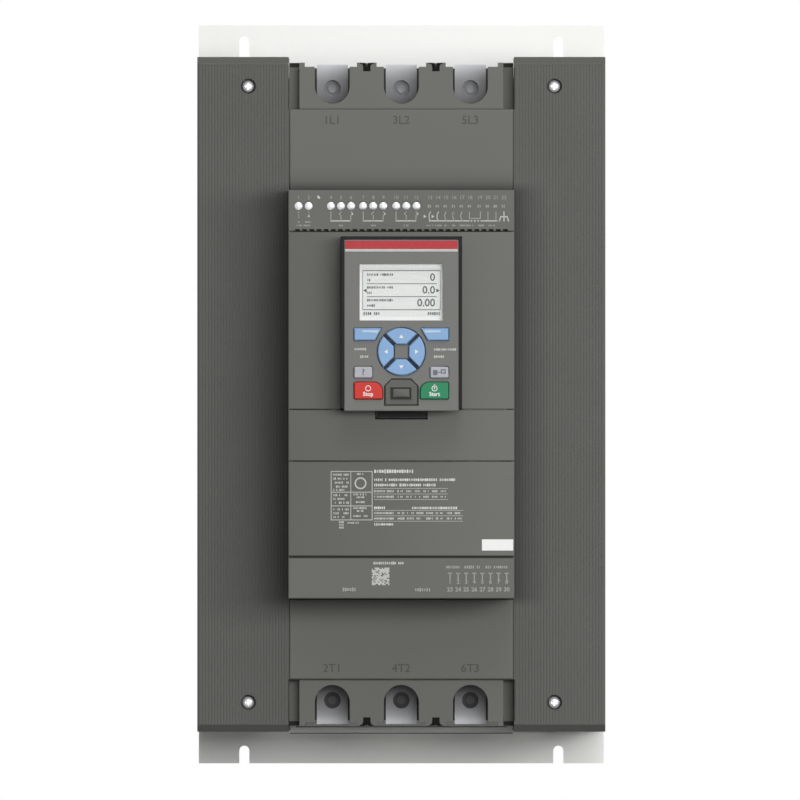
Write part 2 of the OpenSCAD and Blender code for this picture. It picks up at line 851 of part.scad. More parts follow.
// Control module
module_reveal = 0.1;
module_x = middle_w / 2 - module_reveal;
module_inner_x = module_x - cover_wall;
module_back = body_d;
board_t = 1.6;
board_stand = 12;
board_back = module_back + board_stand;
board_front = board_back + board_t;
board_gap_x = 2;
board_gap_z = 3;
board_x = module_inner_x - board_gap_x;
board_z = half_module - cover_wall - board_gap_z;
stud_d = 7;
stud_inset = 6;
wire_window_x = 40;
wire_window_z = 60;
block_gap = 1;
block_x = module_inner_x - block_gap;
block_h = 17;
block_front = panel_back - fit;
block_step = 20;
block_slope = 3;
block_bevel = 2;
block_recess = 0.6;
hv_pitch = 6.35;
lv_pitch = 5.08;
wire_hole_d = 3.8;
wire_hole_l = 9;
wire_depth = 12;
screw_hole_d = 3.2;
screw_hole_l = 16;
// Left edges of the four screw groups, each with its number of screws
hv_groups = [[-64.5, 2], [-44.2, 3], [-24, 3], [-3.2, 3]];
hv_xs = [for (group = hv_groups, i = [0:group[1] - 1]) group[0] + i * hv_pitch];
hv_end_x = 13;
lv_count = 10;
block_split = 2;
lv_x0 = hv_end_x + block_split;
lv_xs = [for (i = [0:lv_count - 1]) lv_x0 + (i + 2 / 3) * lv_pitch];
lower_count = 8;
lower_x0 = 28;
lower_xs = [for (i = [0:lower_count - 1]) lower_x0 + (i + 1 / 2) * lv_pitch];
terminal_inset = 10;
terminal_screw_z = half_module - terminal_inset;
com_xs = [-33.4, 13];
com_w = 16;
com_d = 17;
com_h = 15;
com_cavity_w = 12;
com_cavity_d = 9;
com_floor = 3;

module control_housing() {
    color(grey) difference() {
        union() {
            front(module_back, panel_back) difference() {
                rect(-module_x, module_x, -half_module, half_module);
                rect(-module_inner_x, module_inner_x, cover_wall - half_module, half_module - cover_wall);
            }
            front(module_back, module_back + cover_wall) difference() {
                rect(-module_x, module_x, -half_module, half_module);
                rect(-wire_window_x, wire_window_x, -wire_window_z, wire_window_z);
            }
            for (x = [-1, 1] * (board_x - stud_inset), z = [-1, 1] * (board_z - stud_inset))
                rod(x, z, module_back, board_back, stud_d);
        }
        front(board_front - fit, panel_back + 1) {
            rect(-block_x - fit, block_x + fit, half_module - cover_wall - 1, half_module + 1);
            rect(lower_x0 - fit, block_x + fit, -half_module - 1, cover_wall + 1 - half_module);
        }
        front(board_front - fit, board_front + com_d + fit) for (x = com_xs)
            rect(x - com_w / 2 - fit, x + com_w / 2 + fit, -half_module - 1, cover_wall + 1 - half_module);
    }
}

// Parts on the control board, set out from the terminals above them and the board's left edge
relay_w = 15;
relay_l = 28;
relay_h = 16;
relay_gap = 9;
supply_w = 38;
supply_l = 40;
supply_h = 24;
processor_w = 32;
processor_t = 3;
processor_drop = 36;
smoothing_d = 14;
smoothing_h = 25;
smoothing_gap = 4;

module control_board() {
    parts_z1 = half_module - block_h - relay_gap;
    smoothing_z = parts_z1 - relay_l - smoothing_d;
    smoothing_pitch = smoothing_d + smoothing_gap;
    color(board_green) {
        front(board_back, board_front) rect(-board_x, board_x, -board_z, board_z);
        for (group = [1:len(hv_groups) - 1]) {
            x = hv_groups[group][0] + hv_pitch;
            front(board_front, board_front + relay_h)
                rect(x - relay_w / 2, x + relay_w / 2, parts_z1 - relay_l, parts_z1);
        }
        front(board_front, board_front + supply_h)
            rect(lv_x0, lv_x0 + supply_w, parts_z1 - supply_l, parts_z1);
        front(board_front, board_front + processor_t)
            translate([0, -processor_drop]) square(processor_w, center = true);
        for (i = [0, 1], k = [0, 1])
            rod(hv_groups[1][0] + (i - 1 / 2) * smoothing_pitch, smoothing_z - k * smoothing_pitch,
                board_front, board_front + smoothing_h, smoothing_d);
    }
}

// A row of clamp terminals on the board's upper edge, from x0 to x1, with wire holes at xs.
module clamp_block(x0, x1, xs) {
    base_z = half_module - block_h;
    top_z = half_module - block_recess;
    difference() {
        side(x0, x1) polygon([
            [board_front, base_z], [board_front + block_step, base_z], [block_front, base_z + block_slope],
            [block_front, top_z - block_bevel], [block_front - block_bevel, top_z], [board_front, top_z]
        ]);
        for (x = xs) translate([x, -board_front - wire_depth, top_z - wire_hole_l])
            cylinder(d = wire_hole_d, h = wire_hole_l + 1);
    }
}

module upper_terminal_block() {
    color("#3a3c3c") {
        difference() {
            clamp_block(-block_x, hv_end_x, hv_xs);
            for (x = hv_xs)
                rod(x, terminal_screw_z, block_front - screw_hole_l, block_front + 1, screw_hole_d);
        }
        clamp_block(lv_x0, block_x, lv_xs);
    }
}

module lower_terminal_block() {
    color("#3a3c3c") mirror([0, 0, 1]) clamp_block(lower_x0, block_x, lower_xs);
}

module com_sockets() {
    color(dark) for (x = com_xs) difference() {
        front(board_front, board_front + com_d)
            rect(x - com_w / 2, x + com_w / 2, block_recess - half_module, com_h - half_module);
        front(board_front + (com_d - com_cavity_d) / 2, board_front + (com_d + com_cavity_d) / 2)
            rect(x - com_cavity_w / 2, x + com_cavity_w / 2, -half_module, com_h - com_floor - half_module);
    }
}

module terminal_screws() {
    shank_d = 3;
    shank_l = 12;
    head_lift = 0.4;
    dome = 1.1;
    head_back = panel_back + head_lift;
    head_t = panel_t - 2 * head_lift;
    tip = block_front - shank_l;
    color(steel) for (x = hv_xs)
        domed_screw(x, terminal_screw_z, tip, head_back, shank_d, terminal_head_d, head_t, dome);
}

// Front panels of the control module
vent_w = 2.9;
vent_h = 1.7;
vent_pitch = 4.5;
keypad_seat = 10;
keypad_back = module_front - keypad_seat;
tub_wall = 2;
notch_x = 16.5;
notch_h = 6.2;
plug_w = 11.6;
plug_h = 9;
plug_l = 9;
plug_z = keypad_bottom + 46;
leg_l = 9;
leg_t = 1.8;
leg_w = 14;

// One bevelled front panel between two heights.
module panel(z0, z1) {
    bevel_plate(-module_x, module_x, z0, z1, panel_back, module_front, panel_bevel);
}

// The two snap legs behind a front panel, at height z.
module panel_legs(z) {
    leg_x = module_inner_x - fit;
    both_sides() front(panel_back - leg_l, panel_back)
        rect(leg_x - leg_t, leg_x, z - leg_w / 2, z + leg_w / 2);
}

module upper_strip() {
    edge_z = upper_seam_z + seam / 2;
    color(grey) difference() {
        panel(edge_z, half_module);
        for (x = hv_xs)
            rod(x, terminal_screw_z, panel_back - 1, module_front + 1, terminal_head_d + 2 * screw_play);
        front(panel_back - 1, module_front + 1) for (i = [0:vent_count - 1]) {
            x = (i - (vent_count - 1) / 2) * vent_pitch;
            rect(x - vent_w / 2, x + vent_w / 2, edge_z - 1, edge_z + vent_h - seam);
        }
    }
}

module keypad_panel() {
    pocket_x = keypad_w / 2 + fit;
    pocket_z0 = keypad_bottom - fit;
    pocket_z1 = keypad_top + fit;
    floor_front = keypad_back - fit;
    color(grey) difference() {
        union() {
            panel(lid_top + seam / 2, upper_seam_z - seam / 2);
            panel_legs((lid_top + upper_seam_z) / 2);
            front(floor_front - tub_wall, panel_back) rect(
                -pocket_x - tub_wall, pocket_x + tub_wall, pocket_z0 - tub_wall, upper_seam_z - seam / 2
            );
        }
        front(floor_front, module_front + 1) rect(-pocket_x, pocket_x, pocket_z0, pocket_z1);
        front(floor_front, panel_back + 1) rect(-notch_x, notch_x, pocket_z0 - tub_wall - 1, pocket_z0 + 1);
        front(floor_front - tub_wall - 1, floor_front + 1)
            rect(-plug_w / 2 - fit, plug_w / 2 + fit, plug_z - fit, plug_z + plug_h + fit);
    }
}

module module_lid() {
    color(grey) {
        difference() {
            panel(lid_bottom + seam / 2, lid_top - seam / 2);
            front(panel_back - 1, module_front + 1) rect(-notch_x, notch_x, lid_top - notch_h, lid_top + 1);
        }
        panel_legs((lid_bottom + lid_top) / 2);
    }
}

module rating_panel() {
    color(grey) {
        panel(lower_seam_z + seam / 2, lid_bottom - seam / 2);
        panel_legs((lower_seam_z + lid_bottom) / 2);
    }
}

module lower_strip() {
    color(grey) panel(-half_module, lower_seam_z - seam / 2);
}

// Keypad
face_t = 3;
face_back = keypad_front - face_t;
face_x = keypad_w / 2 - keypad_rim;
face_top = keypad_top - keypad_rim;
face_step = 0.8;
face_corner = 0.8;
face_lip = 1.2;
face_bevel = 0.5;
face_bottom = keypad_bottom - face_lip;
shell_front = keypad_front - face_step;
shell_wall = 2;
shell_corner = 1.5;
ledge = 1.2;
latch_x = notch_x - 1;
latch_drop = notch_h - 1;
latch_sink = 1.2;
kb_t = 1.6;
kb_gap = 7;
kb_front = face_back - kb_gap;
kb_back = kb_front - kb_t;
kb_edge = 2;
kb_bottom_edge = 5;
kb_stud_d = 5;
kb_stud_inset = 4;
kb_x = face_x - ledge - kb_edge;
kb_z0 = keypad_bottom + kb_bottom_edge;
kb_z1 = face_top - ledge - kb_edge;
switch_h = 3;
switch_d = 5;
key_gap = 0.5;
key_flange = 0.8;
key_bevel = 0.5;
key_flange_t = 1.2;
key_corner = 0.8;
stem_d = 3;

// Key places, measured from the middle and the bottom of the keypad
key_edge = 29.5;
softkey_in_top = 12.4;
softkey_in_bottom = 16.6;
softkey_z0 = keypad_bottom + 43.2;
softkey_z1 = keypad_bottom + 50.6;
ring_z = keypad_bottom + 36;
ring_inner = 4.8;
ring_half_gap = 1.15;
ring_edge = 0.8;
ring_sink = 1;
hub_x = 4;
small_key_in = 18.2;
small_key_z0 = keypad_bottom + 19.6;
small_key_z1 = keypad_bottom + 26.5;
wide_key_in = 11.9;
wide_key_z0 = keypad_bottom + 6.4;
wide_key_z1 = keypad_bottom + 16.8;
wide_key_round = 5.5;
flap_x = 9.8;
flap_z0 = keypad_bottom + 3.2;
flap_z1 = keypad_bottom + 18.2;
flap_chamfer = 3.6;
flap_t = 1.6;
flap_rise = 0.3;
pad_x = 6.8;
pad_z0 = keypad_bottom + 6;
pad_z1 = keypad_bottom + 14.2;
pad_rise = 1.1;
pad_bevel = 0.7;
usb_w = 7.6;
usb_h = 3.4;
usb_wall = 0.4;
usb_floor = 1.5;
usb_nose = 1;
usb_z = (flap_z0 + flap_z1) / 2;
window_drop = 17;
glass_sink = 0.4;
window_z1 = keypad_top - window_drop;
window_z0 = window_z1 - window_h;

module keypad_shell() {
    half = keypad_w / 2;
    inner_x = face_x - ledge;
    color(dark) difference() {
        union() {
            front(keypad_back, shell_front) soft_rect(-half, half, keypad_bottom, keypad_top, shell_corner);
            front(keypad_back + shell_wall, module_front - latch_sink)
                rect(-latch_x, latch_x, keypad_bottom - latch_drop, keypad_bottom + shell_wall);
        }
        difference() {
            front(keypad_back + shell_wall, face_back + 1)
                rect(-inner_x, inner_x, keypad_bottom + shell_wall, face_top - ledge);
            for (x = [-1, 1] * (kb_x - kb_stud_inset), z = [kb_z0 + kb_stud_inset, kb_z1 - kb_stud_inset])
                rod(x, z, keypad_back, kb_back, kb_stud_d);
        }
        front(face_back, shell_front + 1)
            rect(-face_x - fit / 2, face_x + fit / 2, keypad_bottom - 1, face_top + fit / 2);
    }
}

module keypad_face() {
    color("#7c7e7f") difference() {
        intersection() {
            front(face_back, keypad_front) face_outline();
            bevel_plate(-face_x, face_x, face_bottom, face_top, face_back, keypad_front, face_bevel);
        }
        front(keypad_front - ring_sink, keypad_front + 1) translate([0, ring_z]) difference() {
            circle(arrow_ring_r + ring_edge);
            square(2 * hub_x, center = true);
        }
        front(keypad_front - flap_t - fit / 2, keypad_front + 1) flap_outline(key_gap);
    }
}

// Outline of the keypad's face with its window, socket and key holes.
module face_outline() {
    difference() {
        soft_rect(-face_x, face_x, face_bottom, face_top, face_corner);
        rect(-window_w / 2, window_w / 2, window_z0, window_z1);
        rect(-usb_w / 2 - fit, usb_w / 2 + fit, usb_z - usb_h / 2 - fit, usb_z + usb_h / 2 + fit);
        softkey_outline(key_gap);
        mirror([1, 0]) softkey_outline(key_gap);
        for (turn = [0:90:270]) arrow_outline(turn, key_gap);
        small_key_outline(key_gap);
        mirror([1, 0]) small_key_outline(key_gap);
        wide_key_outline(key_gap);
        mirror([1, 0]) wide_key_outline(key_gap);
    }
}

module display_glass() {
    color("#dfe4e0") front(face_back, keypad_front - glass_sink)
        rect(fit / 2 - window_w / 2, window_w / 2 - fit / 2, window_z0 + fit / 2, window_z1 - fit / 2);
}

module lcd_panel() {
    lcd_t = 3.2;
    frame = 3;
    color("#9aa0a0") front(face_back - lcd_t, face_back)
        rect(-window_w / 2 - frame, window_w / 2 + frame, window_z0 - frame / 2, window_z1 + frame / 2);
}

module keypad_board() {
    color(board_green) {
        front(kb_back, kb_front) rect(-kb_x, kb_x, kb_z0, kb_z1);
        for (place = key_places) rod(place[0], place[1], kb_front, kb_front + switch_h, switch_d);
    }
}

module keypad_plug() {
    color("#c9cbc4") front(keypad_back - plug_l, keypad_back)
        rect(-plug_w / 2, plug_w / 2, plug_z, plug_z + plug_h);
}

module usb_socket() {
    color(steel) difference() {
        front(kb_front, face_back + usb_nose)
            rect(-usb_w / 2, usb_w / 2, usb_z - usb_h / 2, usb_z + usb_h / 2);
        front(kb_front + usb_floor, face_back + usb_nose + 1) rect(
            usb_wall - usb_w / 2, usb_w / 2 - usb_wall,
            usb_z - usb_h / 2 + usb_wall, usb_z + usb_h / 2 - usb_wall
        );
    }
}

// Outline of the socket flap, grown by g.
module flap_outline(g) {
    polygon([
        [-flap_x - g, flap_z0 - g], [flap_x + g, flap_z0 - g], [flap_x + g, flap_z1 - flap_chamfer],
        [flap_x - flap_chamfer, flap_z1 + g], [flap_chamfer - flap_x, flap_z1 + g],
        [-flap_x - g, flap_z1 - flap_chamfer]
    ]);
}

module usb_flap() {
    rise = keypad_front + flap_rise;
    color("#58595a") {
        front(keypad_front - flap_t + fit / 2, rise) flap_outline(0);
        bevel_plate(-pad_x, pad_x, pad_z0, pad_z1, rise, rise + pad_rise, pad_bevel);
    }
}

// Outlines of the keys on the left half, grown by g.
module softkey_outline(g) {
    polygon([
        [-key_edge - g, softkey_z0 - g], [-softkey_in_bottom + g, softkey_z0 - g],
        [-softkey_in_top + g, softkey_z1 + g], [-key_edge - g, softkey_z1 + g]
    ]);
}

module small_key_outline(g) {
    soft_rect(-key_edge - g, -small_key_in + g, small_key_z0 - g, small_key_z1 + g, key_corner + g);
}

module wide_key_outline(g) {
    r = wide_key_round + g;
    x0 = -key_edge - g;
    x1 = -wide_key_in + g;
    z0 = wide_key_z0 - g;
    z1 = wide_key_z1 + g;
    intersection() {
        soft_rect(x0, x1, z0, z1, key_corner + g);
        union() {
            rect(x0, x1, z0, z1 - r);
            rect(x0, x1 - r, z0, z1);
            translate([x1 - r, z1 - r]) circle(r);
        }
    }
}

// Outline of one arrow key, turned from the upper one and grown by g.
module arrow_outline(turn, g) {
    cut = sqrt(2) * (ring_half_gap - g);
    far = 2 * arrow_ring_r;
    translate([0, ring_z]) rotate(turn) intersection() {
        circle(arrow_ring_r + g);
        polygon([
            [cut - ring_inner + g, ring_inner - g], [ring_inner - g - cut, ring_inner - g],
            [far - cut, far], [cut - far, far]
        ]);
    }
}

// Middles of the keys, where their stems meet the switches
softkey_mid = [-(key_edge + softkey_in_bottom) / 2, (softkey_z0 + softkey_z1) / 2];
small_key_mid = [-(key_edge + small_key_in) / 2, (small_key_z0 + small_key_z1) / 2];
wide_key_mid = [-(key_edge + wide_key_in) / 2, (wide_key_z0 + wide_key_z1) / 2];
arrow_mid_r = (ring_inner + arrow_ring_r) / 2;
function right_of(place) = [-place[0], place[1]];
function arrow_mid(turn) = [-arrow_mid_r * sin(turn), ring_z + arrow_mid_r * cos(turn)];
key_places = [
    softkey_mid, right_of(softkey_mid), small_key_mid, right_of(small_key_mid),
    wide_key_mid, right_of(wide_key_mid), arrow_mid(0), arrow_mid(90), arrow_mid(180), arrow_mid(270)
];

// The outline of a key by its kind, where an arrow key's kind is its turn.
module key_outline(kind, g) {
    if (kind == "soft") softkey_outline(g);
    else if (kind == "small") small_key_outline(g);
    else if (kind == "wide") wide_key_outline(g);
    else arrow_outline(kind, g);
}

// A key with a crowned cap, a flange behind the face and a stem over its switch.
module key(kind, place) {
    flange_back = face_back - fit - key_flange_t;
    flange_front = face_back - fit;
    top = keypad_front + key_proud;
    slice = 0.01;
    front(flange_back, top - key_bevel) key_outline(kind, 0);
    hull() {
        $fn = 32;
        front(top - key_bevel - slice, top - key_bevel) key_outline(kind, 0);
        front(top - slice, top) key_outline(kind, -key_bevel);
    }
    front(flange_back, flange_front) key_outline(kind, key_flange);
    rod(place[0], place[1], kb_front + switch_h + key_travel + fit / 2, flange_front, stem_d);
}

module arrow_key(turn) {
    color("#86a9d8") key(turn, arrow_mid(turn));
}

module softkey_left() {
    color("#86a9d8") key("soft", softkey_mid);
}

module softkey_right() {
    color("#86a9d8") mirror([1, 0, 0]) key("soft", softkey_mid);
}

module info_key() {
    color("#a5a8aa") key("small", small_key_mid);
}

module local_key() {
    color("#a5a8aa") mirror([1, 0, 0]) key("small", small_key_mid);
}

module stop_key() {
    color("#cc3c32") key("wide", wide_key_mid);
}

module start_key() {
    color("#238c5f") mirror([1, 0, 0]) key("wide", wide_key_mid);
}

mounting_plate();
plate_screws();
heat_sink();
fan_tray();
fan_frame(-fan_x);  // fan_frame_left
fan_frame(fan_x);  // fan_frame_right
fan_rotor(-fan_x);  // fan_rotor_left
fan_rotor(fan_x);  // fan_rotor_right
cover_posts();
left_side_cover();
right_side_cover();
side_cover_screws();
main_housing();
line_shroud();
load_shroud();
front_cover();
thyristor_module(phases[0]);  // thyristor_module_1
thyristor_module(phases[1]);  // thyristor_module_2
thyristor_module(phases[2]);  // thyristor_module_3
busbar(phases[0]);  // line_busbar_1
busbar(phases[1]);  // line_busbar_2
busbar(phases[2]);  // line_busbar_3
load_busbar(phases[0]);  // load_busbar_1
load_busbar(phases[1]);  // load_busbar_2
load_busbar(phases[2]);  // load_busbar_3
power_screws();
current_transformers();
bypass_contactor();
bypass_carrier();
trigger_board();
control_housing();
control_board();
upper_terminal_block();
lower_terminal_block();
com_sockets();
terminal_screws();
upper_strip();
keypad_panel();
module_lid();
rating_panel();
lower_strip();
keypad_shell();
keypad_face();
display_glass();
lcd_panel();
keypad_board();
keypad_plug();
usb_socket();
usb_flap();
softkey_left();
softkey_right();
arrow_key(0);  // arrow_up
arrow_key(180);  // arrow_down
arrow_key(90);  // arrow_left
arrow_key(270);  // arrow_right
info_key();
local_key();
stop_key();
start_key();
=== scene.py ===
"""Looks of a wall-mounted soft starter: finishes, panel print, key marks, display and studio."""
import math

import bmesh
import bpy
from mathutils import Matrix, Vector


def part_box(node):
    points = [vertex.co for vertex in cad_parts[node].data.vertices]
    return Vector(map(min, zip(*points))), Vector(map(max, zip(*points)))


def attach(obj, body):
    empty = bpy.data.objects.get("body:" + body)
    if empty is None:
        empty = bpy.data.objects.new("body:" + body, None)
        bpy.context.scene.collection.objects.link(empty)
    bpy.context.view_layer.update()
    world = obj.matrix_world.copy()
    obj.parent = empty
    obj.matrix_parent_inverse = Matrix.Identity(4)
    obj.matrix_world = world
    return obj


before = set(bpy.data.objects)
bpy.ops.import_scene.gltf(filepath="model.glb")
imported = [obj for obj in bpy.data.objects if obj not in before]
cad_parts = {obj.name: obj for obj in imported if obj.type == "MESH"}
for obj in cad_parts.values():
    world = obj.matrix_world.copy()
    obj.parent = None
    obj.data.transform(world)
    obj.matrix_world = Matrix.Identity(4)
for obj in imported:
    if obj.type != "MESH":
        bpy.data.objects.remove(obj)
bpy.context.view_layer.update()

MM = 0.001
scene = bpy.context.scene


def placed(name, data):
    """An object in the scene that shows the data."""
    made = bpy.data.objects.new(name, data)
    scene.collection.objects.link(made)
    return made


# Places on the part, in millimetres: X to the right, Z up, depth forward from the wall
def front_of(node):
    """Depth of a node's front face."""
    return -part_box(node)[0].y / MM


def edges_of(node):
    """Left, right, lower and upper edges of a node."""
    low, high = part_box(node)
    return low.x / MM, high.x / MM, low.z / MM, high.z / MM


# Depths of the faces that carry print
PANEL = front_of("rating_panel")
FACE = front_of("keypad_face")
COVER = front_of("front_cover")
LCD = front_of("lcd_panel")

# How far ink stands out of a face, and how far it reaches into it
INK = 0.05
BITE = 0.02

# Columns of the phases and of the slots between them
PHASES = (-43.5, 0.0, 43.5)
PHASE_GAPS = (-21.75, 21.75)

# Groups of screw terminals by first column, count and first number, and columns of the clamp terminals
SCREW_GROUPS = ((-64.4, 2, 1), (-44.2, 3, 4), (-23.9, 3, 7), (-3.3, 3, 10))
SCREW_PITCH = 6.35
FIRST_CLAMP = 13
CLAMPS = [18.0 + i * 5.02 for i in range(6)] + [49.3 + i * 5.03 for i in range(4)]
LOWER_CLAMPS = [30.54 + i * 5.08 for i in range(8)]


def linear(*srgb):
    """A colour written as sRGB values from 0 to 255, as the linear colour that a shader takes."""
    def channel(value):
        share = value / 255
        return share / 12.92 if share <= 0.04045 else ((share + 0.055) / 1.055) ** 2.4
    return (*map(channel, srgb), 1.0)


def grey(value):
    """A neutral linear colour."""
    return (value, value, value, 1.0)


PURE_BLACK = grey(0.0)
PURE_WHITE = grey(1.0)


class Wire:
    """A shader socket. Expressions on values add Math nodes, and node() adds any other node."""

    def __init__(self, tree, socket=None):
        self.tree = tree
        self.socket = socket

    def node(self, kind, sockets=None, output=0, **settings):
        """A new node's output, with wires or values at its sockets, and its settings."""
        made = self.tree.nodes.new("ShaderNode" + kind)
        for name, value in settings.items():
            if name == "stops":
                fill_ramp(made.color_ramp.elements, value)
            else:
                setattr(made, name, value)
        for key, value in (sockets or {}).items():
            socket = pick(made.inputs, key)
            if isinstance(value, Wire):
                self.tree.links.new(value.socket, socket)
            else:
                socket.default_value = value
        return Wire(self.tree, pick(made.outputs, output)) if made.outputs else self

    def math(self, operation, *values):
        return self.node("Math", dict(enumerate(values)), operation=operation)

    def __add__(self, other):
        return self.math("ADD", self, other)

    __radd__ = __add__

    def __sub__(self, other):
        return self.math("SUBTRACT", self, other)

    def __rsub__(self, other):
        return self.math("SUBTRACT", other, self)

    def __mul__(self, other):
        return self.math("MULTIPLY", self, other)

    __rmul__ = __mul__

    def __gt__(self, other):
        return self.math("GREATER_THAN", self, other)

    def __abs__(self):
        return self.math("ABSOLUTE", self)

    def clamped(self):
        """The value kept between zero and one."""
        return self.node("Clamp", {"Value": self})


def pick(sockets, key):
    """The socket of that place, name or identifier among those in use."""
    if isinstance(key, int):
        return [s for s in sockets if not s.is_unavailable][key]
    return next(s for s in sockets if key in (s.name, s.identifier) and not s.is_unavailable)


def fill_ramp(elements, stops):
    """Sets a colour ramp's stops, each a position and a grey value."""
    while len(elements) < len(stops):
        elements.new(1.0)
    for element, (position, tone) in zip(elements, stops):
        element.position = position
        element.color = grey(tone)


# Shader pieces that the finishes share
def coordinate(coords, axis):
    """One coordinate of a vector, which is in metres on a piece."""
    return coords.node("SeparateXYZ", {"Vector": coords}, axis)


def noise(coords, scale, detail=2.0, rough=0.5):
    sockets = {"Vector": coords, "Scale": scale, "Detail": detail, "Roughness": rough}
    return coords.node("TexNoise", sockets)


def stretched(coords, x, y, z):
    """Coordinates scaled apart, for streaks along an axis."""
    return coords.node("Mapping", {"Vector": coords, "Scale": (x, y, z)})


def tint(share, first, second):
    """Two colours mixed by a share."""
    sockets = {"Factor": share, "A": first, "B": second}
    return share.node("Mix", sockets, data_type="RGBA", blend_type="MIX")


def ramp(share, *stops):
    """A grey tone from a share, by stops."""
    return share.node("ValToRGB", {"Fac": share}, stops=stops)


def edge_mask(wire, radius):
    """A normal that rounds sharp edges, and a mask of one along them and nothing on flats."""
    soft = wire.node("Bevel", {"Radius": radius * MM}, samples=4)
    true = wire.node("NewGeometry", {}, "True Normal")
    close = wire.node("VectorMath", {0: soft, 1: true}, "Value", operation="DOT_PRODUCT")
    return soft, 1 - close


def bump(height, distance, strength, normal=None):
    """A normal from a height, over a distance in millimetres."""
    sockets = {"Height": height, "Distance": distance * MM, "Strength": strength}
    if normal is not None:
        sockets["Normal"] = normal
    return height.node("Bump", sockets)


def finish(paint):
    """Makes a function that paints a shader on object coordinates into one that gives a named material.

    The material's colours are given as sRGB values from 0 to 255.
    """
    def make(name, *colours, **looks):
        made = bpy.data.materials.new(name)
        made.use_nodes = True
        made.node_tree.nodes.clear()
        coords = Wire(made.node_tree).node("TexCoord", {}, "Object")
        shader = paint(coords, *[linear(*colour) for colour in colours], **looks)
        shader.node("OutputMaterial", {"Surface": shader})
        return made
    return make


def surface(colour, roughness, normal=None, **constants):
    """A principled surface with its colour, roughness and normal, and constants by socket name."""
    sockets = {"Base Color": colour, "Roughness": roughness}
    if normal is not None:
        sockets["Normal"] = normal
    sockets.update({name.replace("_", " "): value for name, value in constants.items()})
    return colour.node("BsdfPrincipled", sockets)


# Painted shade above and beside the control module, in metres: where it starts and how far it reaches
MODULE_TOP, SHADE_ABOVE = 0.128, 0.016
MODULE_SIDE, SHADE_BESIDE = 0.071, 1 / 45

# Height at which the painted shade beside the module ends, and the length over which it fades
SHADE_END, SHADE_FADE = 0.134, 0.00625

# Depth of the side covers' grooves, and how near to it counts as in a groove
GROOVE_DEPTH, GROOVE_PLAY = 0.1996, 0.00015

# Where the terminal bars come out of the housing, and the length that shows, over which their painted shade
# runs
BAR_START, BAR_LENGTH = 0.184, 1 / 36


# Finishes
def front_cover_painted_shade(coords, body):
    """Painted shade on the front cover: darker along the control module's upper edge, where its shadow
    falls.
    """
    above = (coordinate(coords, "Z") - MODULE_TOP) * (1 / SHADE_ABOVE)
    near = ramp(above, (0.0, 0.0), (0.004, 0.76), (0.09, 0.72), (0.17, 0.6), (0.25, 0.45),
                (0.33, 0.34), (0.41, 0.25), (0.56, 0.13), (0.8, 0.05), (1.0, 0.0))
    return tint(near, body, PURE_BLACK)


def side_cover_painted_light(coords, body):
    """Groove floors of the side covers painted paler, a painted highlight, and painted shade along the
    control module's sides.
    """
    across = coordinate(coords, "X")
    painted_groove = 1 - (abs(coordinate(coords, "Y") + GROOVE_DEPTH) > GROOVE_PLAY)
    # Groove floors painted paler, a painted highlight on the ribs
    body = tint(painted_groove * 0.3, body, linear(121, 122, 118))
    # Painted shade beside the control module, stronger on its right side
    outward = (abs(across) - MODULE_SIDE) * (1 / SHADE_BESIDE)
    near = ramp(outward, (0.0, 0.0), (0.004, 0.74), (0.1, 0.62), (0.2, 0.53), (0.3, 0.41),
                (0.45, 0.3), (0.7, 0.18), (1.0, 0.0))
    beside = ((SHADE_END - abs(coordinate(coords, "Z"))) * (1 / SHADE_FADE)).clamped()
    darker_on_right = 0.83 + across * 2.3
    return tint(near * beside * darker_on_right, body, PURE_BLACK)


@finish
def moulded_plastic(coords, colour, grain=1400, sheen=0.3, rough=0.55, wear=0.3,
                    fade=0.0, dust=None, corner=0.35):
    """Moulded plastic with an eroded grain, a faint mottle, light scuffs and rubbed edges.

    It can be darkened toward the left as painted shade, and carry painted light and shade from a given
    function. Its corners look rounded by a radius in millimetres.
    """
    pale = [min(1.0, c * 1.6 + 0.02) for c in colour[:3]] + [1.0]
    deep = [c * 0.88 for c in colour[:3]] + [1.0]
    mottle = noise(coords, 22, 4)
    pits = noise(coords, grain, 2, 0.6)
    scuff = ramp(noise(stretched(coords, 60, 60, 9), 3, 6, 0.7), (0.66, 0), (0.82, 1))
    soft, edge = edge_mask(coords, corner)
    body = tint(mottle * 0.5 + pits * 0.5, deep, colour)
    # Painted shade: darker toward the left, as if less light fell there
    if fade:
        leftward = (0.5 - coordinate(coords, "X") * 8).clamped()
        body = tint(leftward * fade, body, PURE_BLACK)
    # Painted light and shade from the given function
    if dust:
        body = dust(coords, body)
    worn = tint(edge * (wear * 2) + scuff * (wear * 0.12), body, pale)
    roughness = rough + (mottle - 0.5) * 0.16 - edge * 0.1
    normal = bump(pits + mottle * 0.2, 0.03, 0.35, soft)
    return surface(worn, roughness, normal, Specular_IOR_Level=sheen)


@finish
def zinc_sheet(coords):
    """Bright zinc on sheet steel, with a soft haze and fine handling marks."""
    haze = noise(coords, 14, 5, 0.6)
    spangle = noise(coords, 160, 2, 0.4)
    lines = noise(stretched(coords, 900, 900, 40), 1, 3, 0.7)
    colour = tint(haze * 0.7 + spangle * 0.3, linear(232, 232, 229), linear(246, 246, 243))
    roughness = 0.36 + haze * 0.14 + spangle * 0.05
    return surface(colour, roughness, bump(lines, 0.01, 0.4), Metallic=0.08)


@finish
def plated_metal(coords, dark, light, streak, rough, metal=1.0):
    """Bare or plated metal with fine streaks, scaled apart by axis, and cloudy handling marks."""
    streaks = noise(stretched(coords, *streak), 1, 4, 0.6)
    cloud = noise(coords, 45, 4, 0.6)
    colour = tint(streaks * 0.4 + cloud * 0.6, dark, light)
    roughness = rough + (cloud - 0.4) * 0.25 + streaks * 0.05
    return surface(colour, roughness, bump(streaks, 0.01, 0.5), Metallic=metal)


